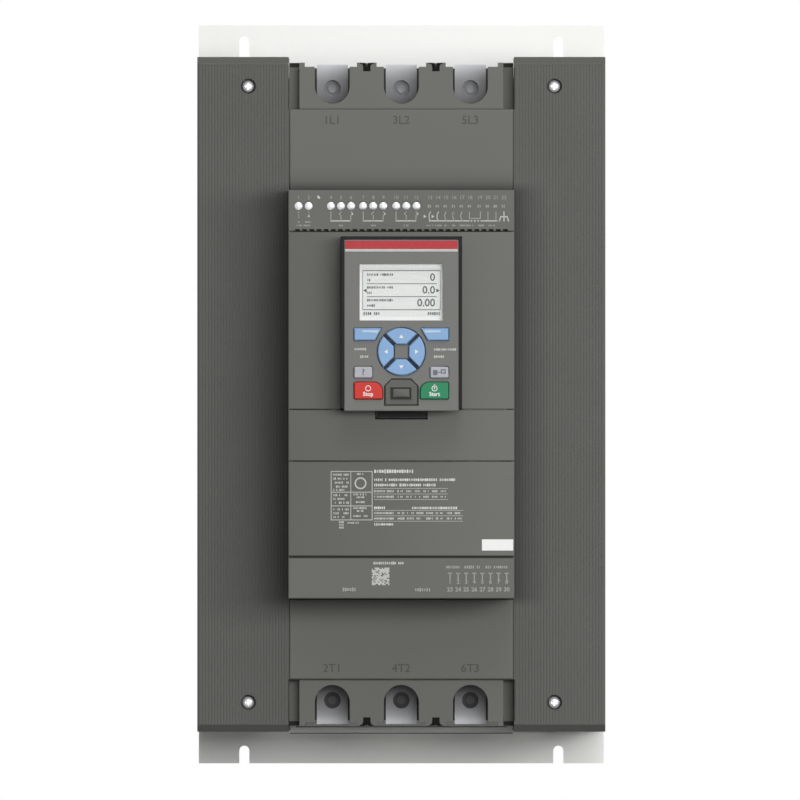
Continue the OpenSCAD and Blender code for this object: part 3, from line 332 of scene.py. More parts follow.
@finish
def tinned_bar(coords):
    """Tin-plated copper with painted shade: bright at the cable end and darker toward the housing, most so
    at the load end.
    """
    cool = (0.98, 0.99, 1.03, 1.0)
    up = coordinate(coords, "Z")
    outward = (abs(up) - BAR_START) * (1 / BAR_LENGTH)
    # Painted shade along the bars, deeper at the load end
    line_end_shade = ramp(outward, (0.0, 0.075), (0.5, 0.23), (0.95, 0.7))
    load_end_shade = ramp(outward, (0.0, 0.06), (0.12, 0.085), (0.25, 0.105), (0.39, 0.15), (0.52, 0.21),
                    (0.66, 0.36), (0.8, 0.64))
    tone = tint(up > 0.0, load_end_shade, line_end_shade)
    shaded_tin = tone.node("Mix", {"Factor": 1.0, "A": tone, "B": cool}, data_type="RGBA", blend_type="MULTIPLY")
    cloud = noise(coords, 45, 4, 0.6)
    streaks = noise(stretched(coords, 500, 500, 24), 1, 4, 0.6)
    colour = tint(cloud * 0.3, shaded_tin, linear(150, 151, 156))
    roughness = 0.4 + (cloud - 0.4) * 0.2 + streaks * 0.06
    return surface(colour, roughness, bump(streaks, 0.01, 0.5), Metallic=0.15)


@finish
def nut_steel(coords, load_end_shade, line_end_shade):
    """Oiled steel of the captive nuts, with painted shade that makes it darker at the load end."""
    cloud = noise(coords, 45, 4, 0.6)
    fine = noise(coords, 500, 2)
    # Painted shade: the nuts at the load end are darker
    tone = tint(coordinate(coords, "Z") > 0.0, load_end_shade, line_end_shade)
    colour = tint(cloud * 0.25, tone, PURE_BLACK)
    return surface(colour, 0.42 + cloud * 0.2, bump(fine, 0.01, 0.4), Metallic=0.05)


@finish
def key_plastic(coords, colour, shade):
    """Glossy key plastic, a little deeper in tone in patches, with a painted highlight along its edges."""
    cloud = noise(coords, 160, 3)
    fine = noise(coords, 2600, 1)
    soft, edge = edge_mask(coords, 0.4)
    body = tint(cloud, shade, colour)
    # Painted highlight: the edges are mixed toward white
    lit = tint(edge * 0.5, body, PURE_WHITE)
    return surface(lit, 0.42 + cloud * 0.16, bump(fine, 0.01, 0.3, soft), Specular_IOR_Level=0.3)


@finish
def green_board(coords):
    """Solder resist over a faint weave and copper tracks."""
    weave = noise(coords, 900, 2)
    cells = coords.node("TexVoronoi", {"Vector": coords, "Scale": 160.0}, "Distance",
                        feature="DISTANCE_TO_EDGE", distance="EUCLIDEAN")
    track = ramp(cells, (0.06, 1), (0.1, 0))
    colour = tint(track, linear(14, 54, 34), linear(34, 92, 58))
    shade = tint(weave * 0.4, colour, linear(8, 36, 22))
    return surface(shade, 0.34 + weave * 0.2, bump(track, 0.03, 0.5), Coat_Weight=0.3)


@finish
def liquid_crystal(coords):
    """The reflecting display cell: a pale field with a fine dot grid and a paler border."""
    middle = sum(edges_of("lcd_panel")[2:]) / 2 * MM
    half_width, half_height = 24.7 * MM, 15.3 * MM
    aside = abs(coordinate(coords, "X")) > half_width
    beyond = abs(coordinate(coords, "Z") - middle) > half_height
    border = (aside + beyond).clamped()
    dots = coords.node("TexVoronoi", {"Vector": coords, "Scale": 2600.0, "Randomness": 0.0}, "Distance",
                       distance="CHEBYCHEV")
    cloud = noise(coords, 60, 3)
    field = tint(dots * 0.25 + cloud * 0.3, linear(242, 244, 242), linear(230, 232, 230))
    colour = tint(border, field, linear(253, 254, 253))
    return surface(colour, 0.35 + cloud * 0.1, bump(dots, 0.01, 0.2))


@finish
def clear_window(coords, tone, cover, rough):
    """Clear moulded plastic that mostly lets the light through, with fine wipe marks."""
    wipes = noise(stretched(coords, 30, 30, 260), 4, 5, 0.7)
    colour = tint(wipes, tone, [c * 0.9 for c in tone[:3]] + [1.0])
    alpha = cover + wipes * 0.04
    return surface(colour, rough + wipes * 0.06, bump(wipes, 0.005, 0.2), Alpha=alpha)


@finish
def print_ink(coords, colour, thin):
    """Screen-printed ink, thinner and duller in places."""
    patch = noise(coords, 420, 4, 0.65)
    grain = noise(coords, 3000, 1)
    return surface(tint(patch, colour, thin), 0.45 + patch * 0.2, bump(grain, 0.01, 0.3),
                   Specular_IOR_Level=0.25)


# The side covers' finish carries painted highlights in the grooves and painted shade beside the control
# module
GREY = moulded_plastic("cover_grey", (88, 89, 85), wear=0.08, dust=side_cover_painted_light, corner=0.12)
# The front cover's finish carries painted shade along the control module's upper edge
FRONT_GREY = moulded_plastic("front_cover_grey", (107, 108, 103), dust=front_cover_painted_shade)
# The control module's panels are painted darker toward the left, a painted shade
PANEL_GREY = moulded_plastic("panel_grey", (110, 111, 106), fade=0.27)
STRIP_GREY = moulded_plastic("strip_grey", (104, 105, 100))
FACE_GREY = moulded_plastic("keypad_face_grey", (114, 114, 111), grain=2000, sheen=0.4, wear=0.4)
BLACK = moulded_plastic("black_plastic", (24, 24, 25), sheen=0.15, rough=0.5, wear=0.15)
GRIP = moulded_plastic("grip_grey", (28, 28, 27), sheen=0.2, wear=0.2)
INSULATOR = moulded_plastic("insulating_plastic", (54, 55, 56), sheen=0.25)
BROWN = moulded_plastic("carrier_plastic", (120, 78, 44))
BLUE_CASE = moulded_plastic("transformer_case", (46, 58, 84))
RUBBER = moulded_plastic("flap_rubber", (108, 109, 105), grain=2400, sheen=0.15, rough=0.75, wear=0.2)
ZINC = zinc_sheet("zinc_sheet")
STEEL = plated_metal("plated_steel", (214, 216, 218), (244, 245, 246),
                     streak=(160, 160, 160), rough=0.26, metal=0.5)
# The bars' finish carries painted shade, darker toward the housing and most at the load end
TIN = tinned_bar("tinned_copper")
# Both nut finishes are painted darker at the load end, a painted shade
NUT = nut_steel("captive_nut", (44, 44, 47), (174, 175, 178))
NUT_FACE = nut_steel("nut_face", (70, 70, 73), (190, 191, 194))
ALUMINIUM = plated_metal("mill_aluminium", (176, 179, 182), (214, 216, 218),
                         streak=(600, 600, 8), rough=0.34)
BOARD = green_board("circuit_board")
CELL = liquid_crystal("liquid_crystal")
WINDOW = clear_window("display_window", (190, 194, 192), cover=0.06, rough=0.08)
PLUG = clear_window("clear_plug", (214, 214, 206), cover=0.55, rough=0.2)
BLUE = key_plastic("key_blue", (146, 183, 224), (130, 168, 212))
# A pale key plastic for the painted highlights on the soft keys
PAINTED_HIGHLIGHT = key_plastic("key_gloss", (206, 222, 238), (184, 206, 230))
PALE = key_plastic("key_grey", (188, 189, 196), (172, 174, 182))
RED = key_plastic("key_red", (216, 58, 47), (196, 44, 37))
GREEN = key_plastic("key_green", (36, 140, 96), (26, 120, 80))
WHITE_INK = print_ink("white_ink", (214, 215, 211), (186, 187, 183))
SOFT_INK = print_ink("fine_white_ink", (172, 173, 168), (150, 151, 146))
DARK_INK = print_ink("display_ink", (66, 70, 70), (84, 88, 88))
NAVY_INK = print_ink("ring_ink", (26, 32, 44), (36, 42, 54))
RED_INK = print_ink("red_band_ink", (190, 66, 72), (176, 54, 60))
PAPER = print_ink("sticker_paper", (254, 254, 252), (248, 248, 246))
KEY_INK = print_ink("key_mark_ink", (248, 248, 246), (234, 234, 232))
SIGN_INK = print_ink("key_sign_ink", (96, 98, 108), (118, 120, 130))
RATING_INK = print_ink("rating_ink", (236, 237, 233), (210, 211, 207))
# A dark grey used only for painted shade: in the joints, behind the vents, beyond the wall ends and round
# the socket flap
DARK_SHADE = moulded_plastic("dark_rubber", (52, 53, 51), grain=2400, sheen=0.15, rough=0.75, wear=0.1)
CLIP = moulded_plastic("clip_black", (8, 8, 9), sheen=0.1, rough=0.6, wear=0.1)
RAISED = moulded_plastic("raised_mark_grey", (80, 81, 77), wear=0.5)

FINISHES = {
    "mounting_plate fan_tray": ZINC,
    "plate_screws cover_posts side_cover_screws power_screws terminal_screws usb_socket": STEEL,
    "heat_sink": ALUMINIUM,
    "fan_frame_left fan_frame_right fan_rotor_left fan_rotor_right keypad_shell com_sockets": BLACK,
    "left_side_cover right_side_cover main_housing": GREY,
    "line_shroud load_shroud front_cover": FRONT_GREY,
    "keypad_panel module_lid rating_panel": PANEL_GREY,
    "control_housing upper_strip lower_strip": STRIP_GREY,
    "thyristor_module_1 thyristor_module_2 thyristor_module_3 bypass_contactor": INSULATOR,
    "upper_terminal_block lower_terminal_block": INSULATOR,
    "bypass_carrier": BROWN,
    "current_transformers": BLUE_CASE,
    "line_busbar_1 line_busbar_2 line_busbar_3 load_busbar_1 load_busbar_2 load_busbar_3": TIN,
    "trigger_board control_board keypad_board": BOARD,
    "keypad_face": FACE_GREY,
    "display_glass": WINDOW,
    "lcd_panel": CELL,
    "keypad_plug": PLUG,
    "usb_flap": RUBBER,
    "softkey_left softkey_right arrow_up arrow_down arrow_left arrow_right": BLUE,
    "info_key local_key": PALE,
    "stop_key": RED,
    "start_key": GREEN,
}
for names, material in FINISHES.items():
    for name in names.split():
        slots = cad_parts[name].data.materials
        slots.clear()
        slots.append(material)


# Geometry node trees for marks that repeat
def node_tree(name, inputs):
    """A geometry node tree with named inputs, and a function that adds its nodes."""
    tree = bpy.data.node_groups.new(name, "GeometryNodeTree")
    tree.interface.new_socket("Geometry", in_out="OUTPUT", socket_type="NodeSocketGeometry")
    for label, kind in inputs:
        tree.interface.new_socket(label, in_out="INPUT", socket_type="NodeSocket" + kind)
    source = tree.nodes.new("NodeGroupInput")

    def add(kind, settings=None, **sockets):
        """A new node's output. Sockets go by name, or by place as in _0, and a text is a tree's input."""
        made = tree.nodes.new(kind)
        for key, value in (settings or {}).items():
            setattr(made, key, value)
        for key, value in sockets.items():
            socket = pick(made.inputs, int(key[1:]) if key[1:].isdigit() else key.replace("_", " "))
            if isinstance(value, str):
                tree.links.new(source.outputs[value], socket)
            elif isinstance(value, bpy.types.NodeSocket):
                tree.links.new(value, socket)
            else:
                socket.default_value = value
        return pick(made.outputs, 0)
    return tree, add


def set_marks(tree, add, points, mark, **sockets):
    """Ends a tree with a mark at each point, made real and given the tree's material."""
    marks = add("GeometryNodeInstanceOnPoints", Points=points, Instance=mark, **sockets)
    real = add("GeometryNodeRealizeInstances", Geometry=marks)
    out = tree.nodes.new("NodeGroupOutput")
    tree.links.new(add("GeometryNodeSetMaterial", Geometry=real, Material="Material"), out.inputs[0])
    return tree


def text_row_tree():
    """A row of small upright marks of uneven width and height, with gaps between words."""
    tree, add = node_tree("text_row", [
        ("Length", "Float"), ("Pitch", "Float"), ("Height", "Float"), ("Thickness", "Float"),
        ("Gap share", "Float"), ("Seed", "Int"), ("Material", "Material")])

    def part(name, factor):
        return add("ShaderNodeMath", {"operation": "MULTIPLY"}, _0=name, _1=factor)

    share = add("ShaderNodeMath", {"operation": "DIVIDE"}, _0="Length", _1="Pitch")
    count = add("FunctionNodeFloatToInt", {"rounding_mode": "FLOOR"}, Float=share)
    start = add("ShaderNodeCombineXYZ", X=part("Pitch", 0.5))
    step = add("ShaderNodeCombineXYZ", X="Pitch")
    line = add("GeometryNodeMeshLine", {"mode": "OFFSET", "count_mode": "TOTAL"},
               Count=count, Start_Location=start, Offset=step)
    gaps = add("FunctionNodeRandomValue", {"data_type": "BOOLEAN"}, Probability="Gap share", Seed="Seed")
    letters = add("GeometryNodeDeleteGeometry", {"domain": "POINT"}, Geometry=line, Selection=gaps)
    least = add("ShaderNodeCombineXYZ", X=part("Pitch", 0.42), Y=part("Height", 0.62), Z="Thickness")
    most = add("ShaderNodeCombineXYZ", X=part("Pitch", 0.86), Y="Height", Z="Thickness")
    size = add("FunctionNodeRandomValue", {"data_type": "FLOAT_VECTOR"}, Min=least, Max=most, Seed="Seed")
    return set_marks(tree, add, letters, add("GeometryNodeMeshCube"), Scale=size)


def code_block_tree():
    """A square of cells, of which a seeded share is filled."""
    tree, add = node_tree("code_block", [
        ("Side", "Float"), ("Cells", "Int"), ("Cell size", "Float"), ("Thickness", "Float"),
        ("Empty share", "Float"), ("Seed", "Int"), ("Material", "Material")])
    grid = add("GeometryNodeMeshGrid", Size_X="Side", Size_Y="Side", Vertices_X="Cells", Vertices_Y="Cells")
    empty = add("FunctionNodeRandomValue", {"data_type": "BOOLEAN"}, Probability="Empty share", Seed="Seed")
    cells = add("GeometryNodeDeleteGeometry", {"domain": "POINT"}, Geometry=grid, Selection=empty)
    size = add("ShaderNodeCombineXYZ", X="Cell size", Y="Cell size", Z="Thickness")
    return set_marks(tree, add, cells, add("GeometryNodeMeshCube"), Scale=size)


def bar_row_tree():
    """A row of like bars, such as grip ridges."""
    tree, add = node_tree("bar_row", [
        ("Count", "Int"), ("Step", "Vector"), ("Bar", "Vector"), ("Material", "Material")])
    line = add("GeometryNodeMeshLine", {"mode": "OFFSET", "count_mode": "TOTAL"},
               Count="Count", Offset="Step")
    return set_marks(tree, add, line, add("GeometryNodeMeshCube", Size="Bar"))


TEXT_ROW = text_row_tree()
CODE_BLOCK = code_block_tree()
BAR_ROW = bar_row_tree()


def grown(tree, **values):
    """The plain mesh that a geometry node tree makes from its inputs' values."""
    holder = placed("grown", bpy.data.meshes.new("grown"))
    modifier = holder.modifiers.new("grown", "NODES")
    modifier.node_group = tree
    for item in tree.interface.items_tree:
        if item.in_out == "INPUT":
            modifier[item.identifier] = values[item.name.replace(" ", "_").lower()]
    return plain_mesh(holder)


def plain_mesh(holder):
    """The evaluated mesh of a helper object, which is then removed."""
    mesh = bpy.data.meshes.new_from_object(holder.evaluated_get(bpy.context.evaluated_depsgraph_get()))
    source = holder.data
    bpy.data.objects.remove(holder)
    (bpy.data.meshes if isinstance(source, bpy.types.Mesh) else bpy.data.curves).remove(source)
    return mesh


# From a flat drawing, with X right and Y up, to the front of the part
STAND = Matrix.Rotation(math.radians(90), 4, "X")


def rectangle(x0, x1, z0, z1):
    """Corners of an upright rectangle."""
    return [(x0, z0), (x1, z0), (x1, z1), (x0, z1)]


def circle(x, z, r, sides):
    """Corners on a circle."""
    turns = [2 * math.pi * i / sides for i in range(sides)]
    return [(x + r * math.cos(t), z + r * math.sin(t)) for t in turns]


class Print:
    """Flat marks of one material on a face of the part, in millimetres."""

    def __init__(self, material, depth, thickness=INK):
        self.bm = bmesh.new()
        self.material = material
        self.depth = depth
        self.thickness = thickness

    def at(self, depth, thickness):
        """Goes on at another depth."""
        self.depth, self.thickness = depth, thickness
        return self

    def shape(self, points):
        """A mark with the given outline."""
        rings = []
        for depth in (self.depth - BITE, self.depth + self.thickness):
            rings.append([self.bm.verts.new((x, -depth, z)) for x, z in points])
        back, top = rings
        self.bm.faces.new(top)
        self.bm.faces.new(back[::-1])
        for i in range(len(points)):
            self.bm.faces.new((top[i - 1], top[i], back[i], back[i - 1]))
        return self

    def bar(self, x0, x1, z0, z1):
        """An upright rectangle."""
        return self.shape(rectangle(x0, x1, z0, z1))

    def line(self, x0, z0, x1, z1, width):
        """A straight stroke."""
        run = Vector((x1 - x0, z1 - z0))
        side = Vector((-run.y, run.x)).normalized() * width / 2
        return self.shape([(x0 - side.x, z0 - side.y), (x1 - side.x, z1 - side.y),
                           (x1 + side.x, z1 + side.y), (x0 + side.x, z0 + side.y)])

    def path(self, *points, width):
        """Strokes from point to point."""
        for first, second in zip(points, points[1:]):
            self.line(*first, *second, width)
        return self

    def band(self, outer, inner):
        """A closed band between two outlines with as many corners."""
        rings = []
        for depth in (self.depth - BITE, self.depth + self.thickness):
            for outline in (outer, inner):
                rings.append([self.bm.verts.new((x, -depth, z)) for x, z in outline])
        back, back_in, top, top_in = rings
        for first, second in ((top, top_in), (top_in, back_in), (back_in, back), (back, top)):
            for i in range(len(outer)):
                self.bm.faces.new((first[i - 1], first[i], second[i], second[i - 1]))
        return self

    def box(self, x0, x1, z0, z1, width):
        """A frame of lines along the given edges."""
        half = width / 2
        return self.band(rectangle(x0 - half, x1 + half, z0 - half, z1 + half),
                         rectangle(x0 + half, x1 - half, z0 + half, z1 - half))

    def dot(self, x, z, r, sides=20):
        """A round mark."""
        return self.shape(circle(x, z, r, sides))

    def ring(self, x, z, r, width, sides=28):
        """A ring about a circle of the given radius."""
        return self.band(circle(x, z, r + width / 2, sides), circle(x, z, r - width / 2, sides))

    def crown(self, x0, x1, z0, z1, rise, steps=16):
        """A closed pad whose middle stands proud of its edges."""
        verts = {}
        for i in range(steps + 1):
            for k in range(steps + 1):
                u, v = 2 * i / steps - 1, 2 * k / steps - 1
                x, z = x0 + (x1 - x0) * i / steps, z0 + (z1 - z0) * k / steps
                depth = self.depth + self.thickness + rise * (1 - u * u) * (1 - v ** 4)
                verts[i, k] = self.bm.verts.new((x, -depth, z))
        for i in range(steps):
            for k in range(steps):
                self.bm.faces.new((verts[i, k], verts[i + 1, k], verts[i + 1, k + 1], verts[i, k + 1]))
        rim = [(i, 0) for i in range(steps)] + [(steps, k) for k in range(steps)]
        rim += [(steps - i, steps) for i in range(steps)] + [(0, steps - k) for k in range(steps)]
        back = [self.bm.verts.new((verts[at].co.x, BITE - self.depth, verts[at].co.z)) for at in rim]
        for i in range(len(rim)):
            self.bm.faces.new((verts[rim[i - 1]], back[i - 1], back[i], verts[rim[i]]))
        self.bm.faces.new(back[::-1])
        return self

    def mesh(self, mesh, x, z):
        """A flat mesh drawn about the origin, set at (x, z)."""
        mesh.transform(Matrix.Translation((x, -self.depth - (self.thickness - BITE) / 2, z)) @ STAND)
        self.bm.from_mesh(mesh)
        bpy.data.meshes.remove(mesh)
        return self

    def word(self, text, x, z, size, align="CENTER", weight=0.0):
        """Generic lettering, its middle height at z, with its strokes made wider by a weight."""
        curve = bpy.data.curves.new("word", "FONT")
        curve.body = text
        curve.size = size
        curve.align_x = align
        curve.align_y = "CENTER"
        curve.resolution_u = 3
        curve.offset = weight
        curve.extrude = (self.thickness + BITE) / 2
        return self.mesh(plain_mesh(placed("word", curve)), x, z)

    def row(self, x0, x1, z, height, seed, gap=0.1):
        """A seeded row of small marks that stands for fine text, with a share of gaps in it."""
        mesh = grown(TEXT_ROW, length=x1 - x0, pitch=height * 0.6, height=height,
                     thickness=self.thickness + BITE, gap_share=gap, seed=seed, material=self.material)
        return self.mesh(mesh, x0, z)

    def piece(self, name, body):
        """The marks as one piece that rides on a body."""
        bmesh.ops.remove_doubles(self.bm, verts=self.bm.verts, dist=1e-5)
        bmesh.ops.recalc_face_normals(self.bm, faces=self.bm.faces)
        bmesh.ops.scale(self.bm, vec=(MM, MM, MM), verts=self.bm.verts)
        mesh = bpy.data.meshes.new(name)
        # Faces from a node tree use a second material slot, and the piece has only one
        for face in self.bm.faces:
            face.material_index = 0
        self.bm.to_mesh(mesh)
        self.bm.free()
        mesh.materials.append(self.material)
        made = placed(name, mesh)
        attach(made, body)
        return made


# Upper terminal strip: heights of its numbers, codes, symbol legs and captions
NUMBER_Z = 123.4
CODE_Z = 118.0
LEG_TOP = 114.7
LEG_END = 108.8
NOTE_Z = 108.1
CAPTION_Z = 105.9

# Ends of the captions below the clamp columns
CLAMP_CAPTIONS = ((15.5, 20.2), (21.1, 25.5), (27.0, 29.3), (31.8, 34.0), (36.5, 45.6), (47.5, 52.5),
                  (54.4, 59.1))


def upper_strip_print():
    """Terminal numbers and relay symbols above and below the screws, and the clamp columns' symbols."""
    bold = Print(WHITE_INK, PANEL)
    fine = Print(SOFT_INK, PANEL)
    for start, count, number in SCREW_GROUPS:
        xs = [start + i * SCREW_PITCH for i in range(count)]
        for i, x in enumerate(xs):
            fine.word(str(number + i), x, NUMBER_Z, 3.2)
        if count == 3:
            relay_symbol(bold, fine, xs)
    left = SCREW_GROUPS[0][0]
    second = left + SCREW_PITCH
    for x in (left, second):
        for z in (LEG_TOP, LEG_TOP - 1.6, LEG_TOP - 3.2):
            fine.bar(x - 0.3, x + 0.3, z - 0.9, z)
    bold.dot(second, LEG_TOP - 3.2, 0.7)
    fine.row(left - 1.3, left + 1.3, NOTE_Z, 1.1, 11)
    fine.row(second - 2.4, second + 1.6, NOTE_Z, 1.1, 12)
    fine.row(left - 1.3, second + 1.6, CAPTION_Z, 1.2, 13)
    bold.line(-52.5, 124.4, -51.2, 122.8, 1.3)
    for i, x in enumerate(CLAMPS):
        fine.word(str(FIRST_CLAMP + i), x, NUMBER_Z, 3.2)
        fine.row(x - 1.7, x + 1.7, CODE_Z, 2.0, 20 + i, gap=0.0)
    clamp_symbols(bold, fine)
    bold.piece("upper_strip_symbols", "root")
    fine.piece("upper_strip_numbers", "root")


def foot_line(bold, x0, x1):
    """A heavy line at the foot of the symbols."""
    bold.bar(x0, x1, LEG_END - 0.35, LEG_END + 0.35)


def relay_symbol(bold, fine, xs):
    """A change-over contact below three screws."""
    first, middle, last = xs
    for x in (first, middle):
        fine.line(x, LEG_TOP, x, LEG_END, 0.6)
    fine.line(last, LEG_TOP, last - 0.3, LEG_END, 0.6)
    fine.dot(middle - 0.5, LEG_TOP - 1.5, 0.8)
    bold.dot(last + 0.5, LEG_TOP - 1.5, 0.8)
    foot_line(bold, first - 0.4, last)
    fine.row(middle - 1.6, middle + 1.6, CAPTION_Z, 1.3, int(first * 10) % 97)


def clamp_symbols(bold, fine):
    """Contacts, a sensor loop and an earth sign below the clamp columns, over a common line."""
    for x in CLAMPS[:2]:
        bold.path((x + 0.4, LEG_TOP), (x - 0.6, LEG_TOP - 2.0), (x - 0.6, LEG_TOP - 4.0),
                  (x + 0.3, LEG_END), width=0.5)
        bold.shape([(x - 4.0, LEG_TOP - 2.1), (x - 2.2, LEG_TOP - 3.1), (x - 4.0, LEG_TOP - 4.1)])
    for x in CLAMPS[2:5]:
        fine.path((x, LEG_TOP), (x - 1.0, LEG_TOP - 2.6), (x, LEG_END), width=0.6)
    bold.dot(CLAMPS[3] - 0.6, LEG_TOP - 1.4, 0.7)
    loop, loop_end, loop_z = CLAMPS[5] - 0.4, CLAMPS[6] + 0.3, 110.3
    fine.path((loop, LEG_TOP), (loop, loop_z), (loop_end, loop_z), (loop_end, LEG_TOP), width=0.55)
    for x in CLAMPS[7:9]:
        fine.line(x, LEG_TOP, x, LEG_END, 0.5)
    foot_line(bold, CLAMPS[0] - 0.8, loop)
    for i in range(4):
        foot_line(bold, loop + 0.7 + 2.1 * i, loop + 1.9 + 2.1 * i)
    foot_line(bold, loop_end + 1.6, CLAMPS[8] + 0.9)
    earth, earth_z = CLAMPS[9], 111.4
    bold.line(earth, LEG_TOP, earth, earth_z + 0.2, 0.6)
    bold.line(earth - 2.4, earth_z, earth + 2.4, earth_z, 0.8)
    for dx in (-2.1, 0.0, 2.1):
        bold.line(earth + dx, earth_z - 0.2, earth + dx * 1.4, LEG_END - 0.3, 0.7)
    for i, (x0, x1) in enumerate(CLAMP_CAPTIONS):
        fine.row(x0, x1, CAPTION_Z, 1.2, 40 + i)


# Rating panel: its text rows, each by its ends, height, letter height, seed and share of gaps
TEXT_X = -17.2
TEXT_ROWS = (
    (TEXT_X, 9.0, -48.3, 2.6, 81, 0.03),
    (TEXT_X, 34.8, -53.6, 1.9, 82, 0.06),
    (TEXT_X, 22.5, -56.9, 1.9, 83, 0.06),
    (TEXT_X, -9.4, -71.2, 2.0, 90, 0.0),
    (6.5, 35.9, -71.3, 1.7, 91, 0.04),
    (TEXT_X, -4.2, -81.6, 1.7, 98, 0.0),
)

# Heights of the wiring table's rows, on the left, and with half their length, on the right
TABLE_ROWS = (-50.4, -52.9, -55.4, -57.9, -60.0, -63.3, -65.6, -68.0, -72.2, -74.6, -77.0)
TABLE_NOTES = ((-50.0, 2.4), (-62.8, 4.6), (-64.6, 2.6), (-67.6, 3.0), (-71.4, 4.6), (-73.2, 2.4),
               (-76.4, 4.8))


def rating_print():
    """A small wiring table, rows of fine text and two value tables, and a blank sticker."""
    bold = Print(RATING_INK, PANEL)
    fine = Print(WHITE_INK, PANEL)
    for row in TEXT_ROWS:
        bold.row(*row)
    wiring_table(fine)
    value_table(fine, right=29.2, top=-59.0, low=-66.0, columns=7, seed=84)
    value_table(fine, right=38.7, top=-72.8, low=-79.6, columns=8, seed=92)
    bold.piece("rating_text", "root")
    fine.piece("rating_tables", "root")
    sticker = Print(PAPER, PANEL, 0.12)
    sticker.bar(50.6, 70.2, -98.0, -91.0)
    sticker.piece("blank_sticker", "root")


def wiring_table(fine):
    """A ruled table with two columns of fine text and a ring, and small notes below it."""
    left, middle, right, top, low = -44.0, -31.7, -18.3, -48.4, -78.8
    note_x = -25.6
    fine.box(left, right, low, top, 0.45)
    fine.line(middle, top, middle, low, 0.4)
    for z in (-61.4, -70.0):
        fine.line(left, z, right, z, 0.45)
    for i, z in enumerate(TABLE_ROWS):
        fine.row(left + 1.2, middle - 0.8, z, 1.5, 60 + i, gap=0.3)
    fine.ring(note_x, -55.8, 3.3, 0.9)
    for i, (z, half) in enumerate(TABLE_NOTES):
        fine.row(note_x - half, note_x + half, z, 1.4, 72 + i, gap=0.12)
    for i, z in enumerate((-80.2, -81.9, -83.6)):
        fine.row(-39.2, -35.6, z, 1.3, 110 + i, gap=0.0)
    fine.row(-33.8, -26.2, -80.6, 1.2, 113)


def value_table(fine, right, top, low, columns, seed):
    """Two rows of values in ruled columns, the first one wide."""
    middle = (top + low) / 2
    for z in (top, middle, low):
        fine.line(TEXT_X, z, right, z, 0.25)
    first = TEXT_X + 14.0
    step = (right - first) / (columns - 1)
    for i, z in enumerate(((top + middle) / 2, (middle + low) / 2)):
        fine.row(TEXT_X, first - 0.8, z, 1.5, seed + i, gap=0.04)
        for k in range(columns - 1):
            start = first + k * step
            fine.row(start + 0.7, start + step - 0.7, z, 1.5, seed + 7 * k + i, gap=0.16)


# Lower terminal strip
def lower_strip_print():
    """A seeded block pattern with its text row, two socket captions and eight clamp columns."""
    bold = Print(WHITE_INK, PANEL)
    fine = Print(SOFT_INK, PANEL)
    bold.row(-18.9, 2.2, -105.9, 2.0, 101, gap=0.06)
    cells, side = 14, 11.0
    pitch = side / cells
    block = grown(CODE_BLOCK, side=side - pitch, cells=cells, cell_size=pitch * 0.96,
                  thickness=INK + BITE, empty_share=0.24, seed=5, material=bold.material)
    bold.mesh(block, -13.0, -114.2)
    fine.row(-38.4, -28.0, -122.4, 2.4, 103, gap=0.04)
    fine.row(8.3, 18.4, -122.6, 2.4, 104, gap=0.04)
    for i, (x0, x1) in enumerate(((28.0, 36.9), (39.5, 50.1), (52.7, 67.1))):
        fine.row(x0, x1, -108.4, 2.1, 105 + i, gap=0.04)
    cap_z, stem_end = -112.3, -116.2
    first_clamp = FIRST_CLAMP + len(CLAMPS)
    for i, x in enumerate(LOWER_CLAMPS):
        fine.line(x - 1.3, cap_z, x + 1.3, cap_z, 0.8)
        fine.line(x, cap_z, x, stem_end, 0.7)
        fine.word(str(i + 1), x, -117.7, 3.5, weight=0.1)
        fine.word(str(first_clamp + i), x, -122.5, 3.7, weight=0.1)
    bold.piece("lower_strip_block", "root")
    fine.piece("lower_strip_numbers", "root")


# Front cover and the joints round the control module
def phase_marks():
    """Raised terminal marks on the front cover, at the line end and the load end."""
    height, size = 172.6, 7.4
    marks = Print(RAISED, COVER, 0.18)
    for i, x in enumerate(PHASES):
        marks.word(f"{2 * i + 1}L{i + 1}", x, height, size)
        marks.word(f"{2 * i + 2}T{i + 1}", x, -height, size)
    marks.piece("phase_marks", "root")


def joint_strips():
    """Strips of the covers' plastic that close the joints beside the front cover."""
    left, right, low, top = edges_of("front_cover")
    near, far = 0.05, 1.7
    strips = Print(GREY, COVER - 3.0, 2.9)
    strips.bar(left - far, left - near, low, top)
    strips.bar(right + near, right + far, low, top)
    strips.piece("joint_strips", "root")


def joint_seals():
    """Dark strips of painted shade under the control module's lower edge and below the rating panel."""
    left, right, low, _ = edges_of("control_housing")
    shade_lines = Print(DARK_SHADE, COVER - 1.0, 1.25)
    shade_lines.bar(left + 0.4, right - 0.4, low - 1.3, low)
    seam = (edges_of("rating_panel")[2] + edges_of("lower_strip")[3]) / 2
    shade_lines.at(PANEL - 2.4, 2.45).bar(left + 0.5, right - 0.5, seam - 1.1, seam)
    shade_lines.piece("joint_seals", "root")


def vent_foam():
    """A dark sheet of painted shade behind the vent row, above the keypad panel."""
    left, right, low, _ = edges_of("upper_strip")
    shade_sheet = Print(DARK_SHADE, PANEL - 6.0, 3.2)
    shade_sheet.bar(left + 4.0, right - 4.0, low - 0.3, low + 2.6)
    shade_sheet.piece("vent_foam", "root")


# Terminals and the ends of the housing, mirrored at the line end and the load end
BOLT_Z = 193.0
NUT_RADIUS, NUT_FACE_RADIUS = 8.5, 2.7
WALL_DEPTH = 186.0
WALL_INSIDE, WALL_OUTSIDE = 64.4, 70.6
WALL_Z, SHADE_Z, TIP_Z = 203.2, 206.0, 208.8


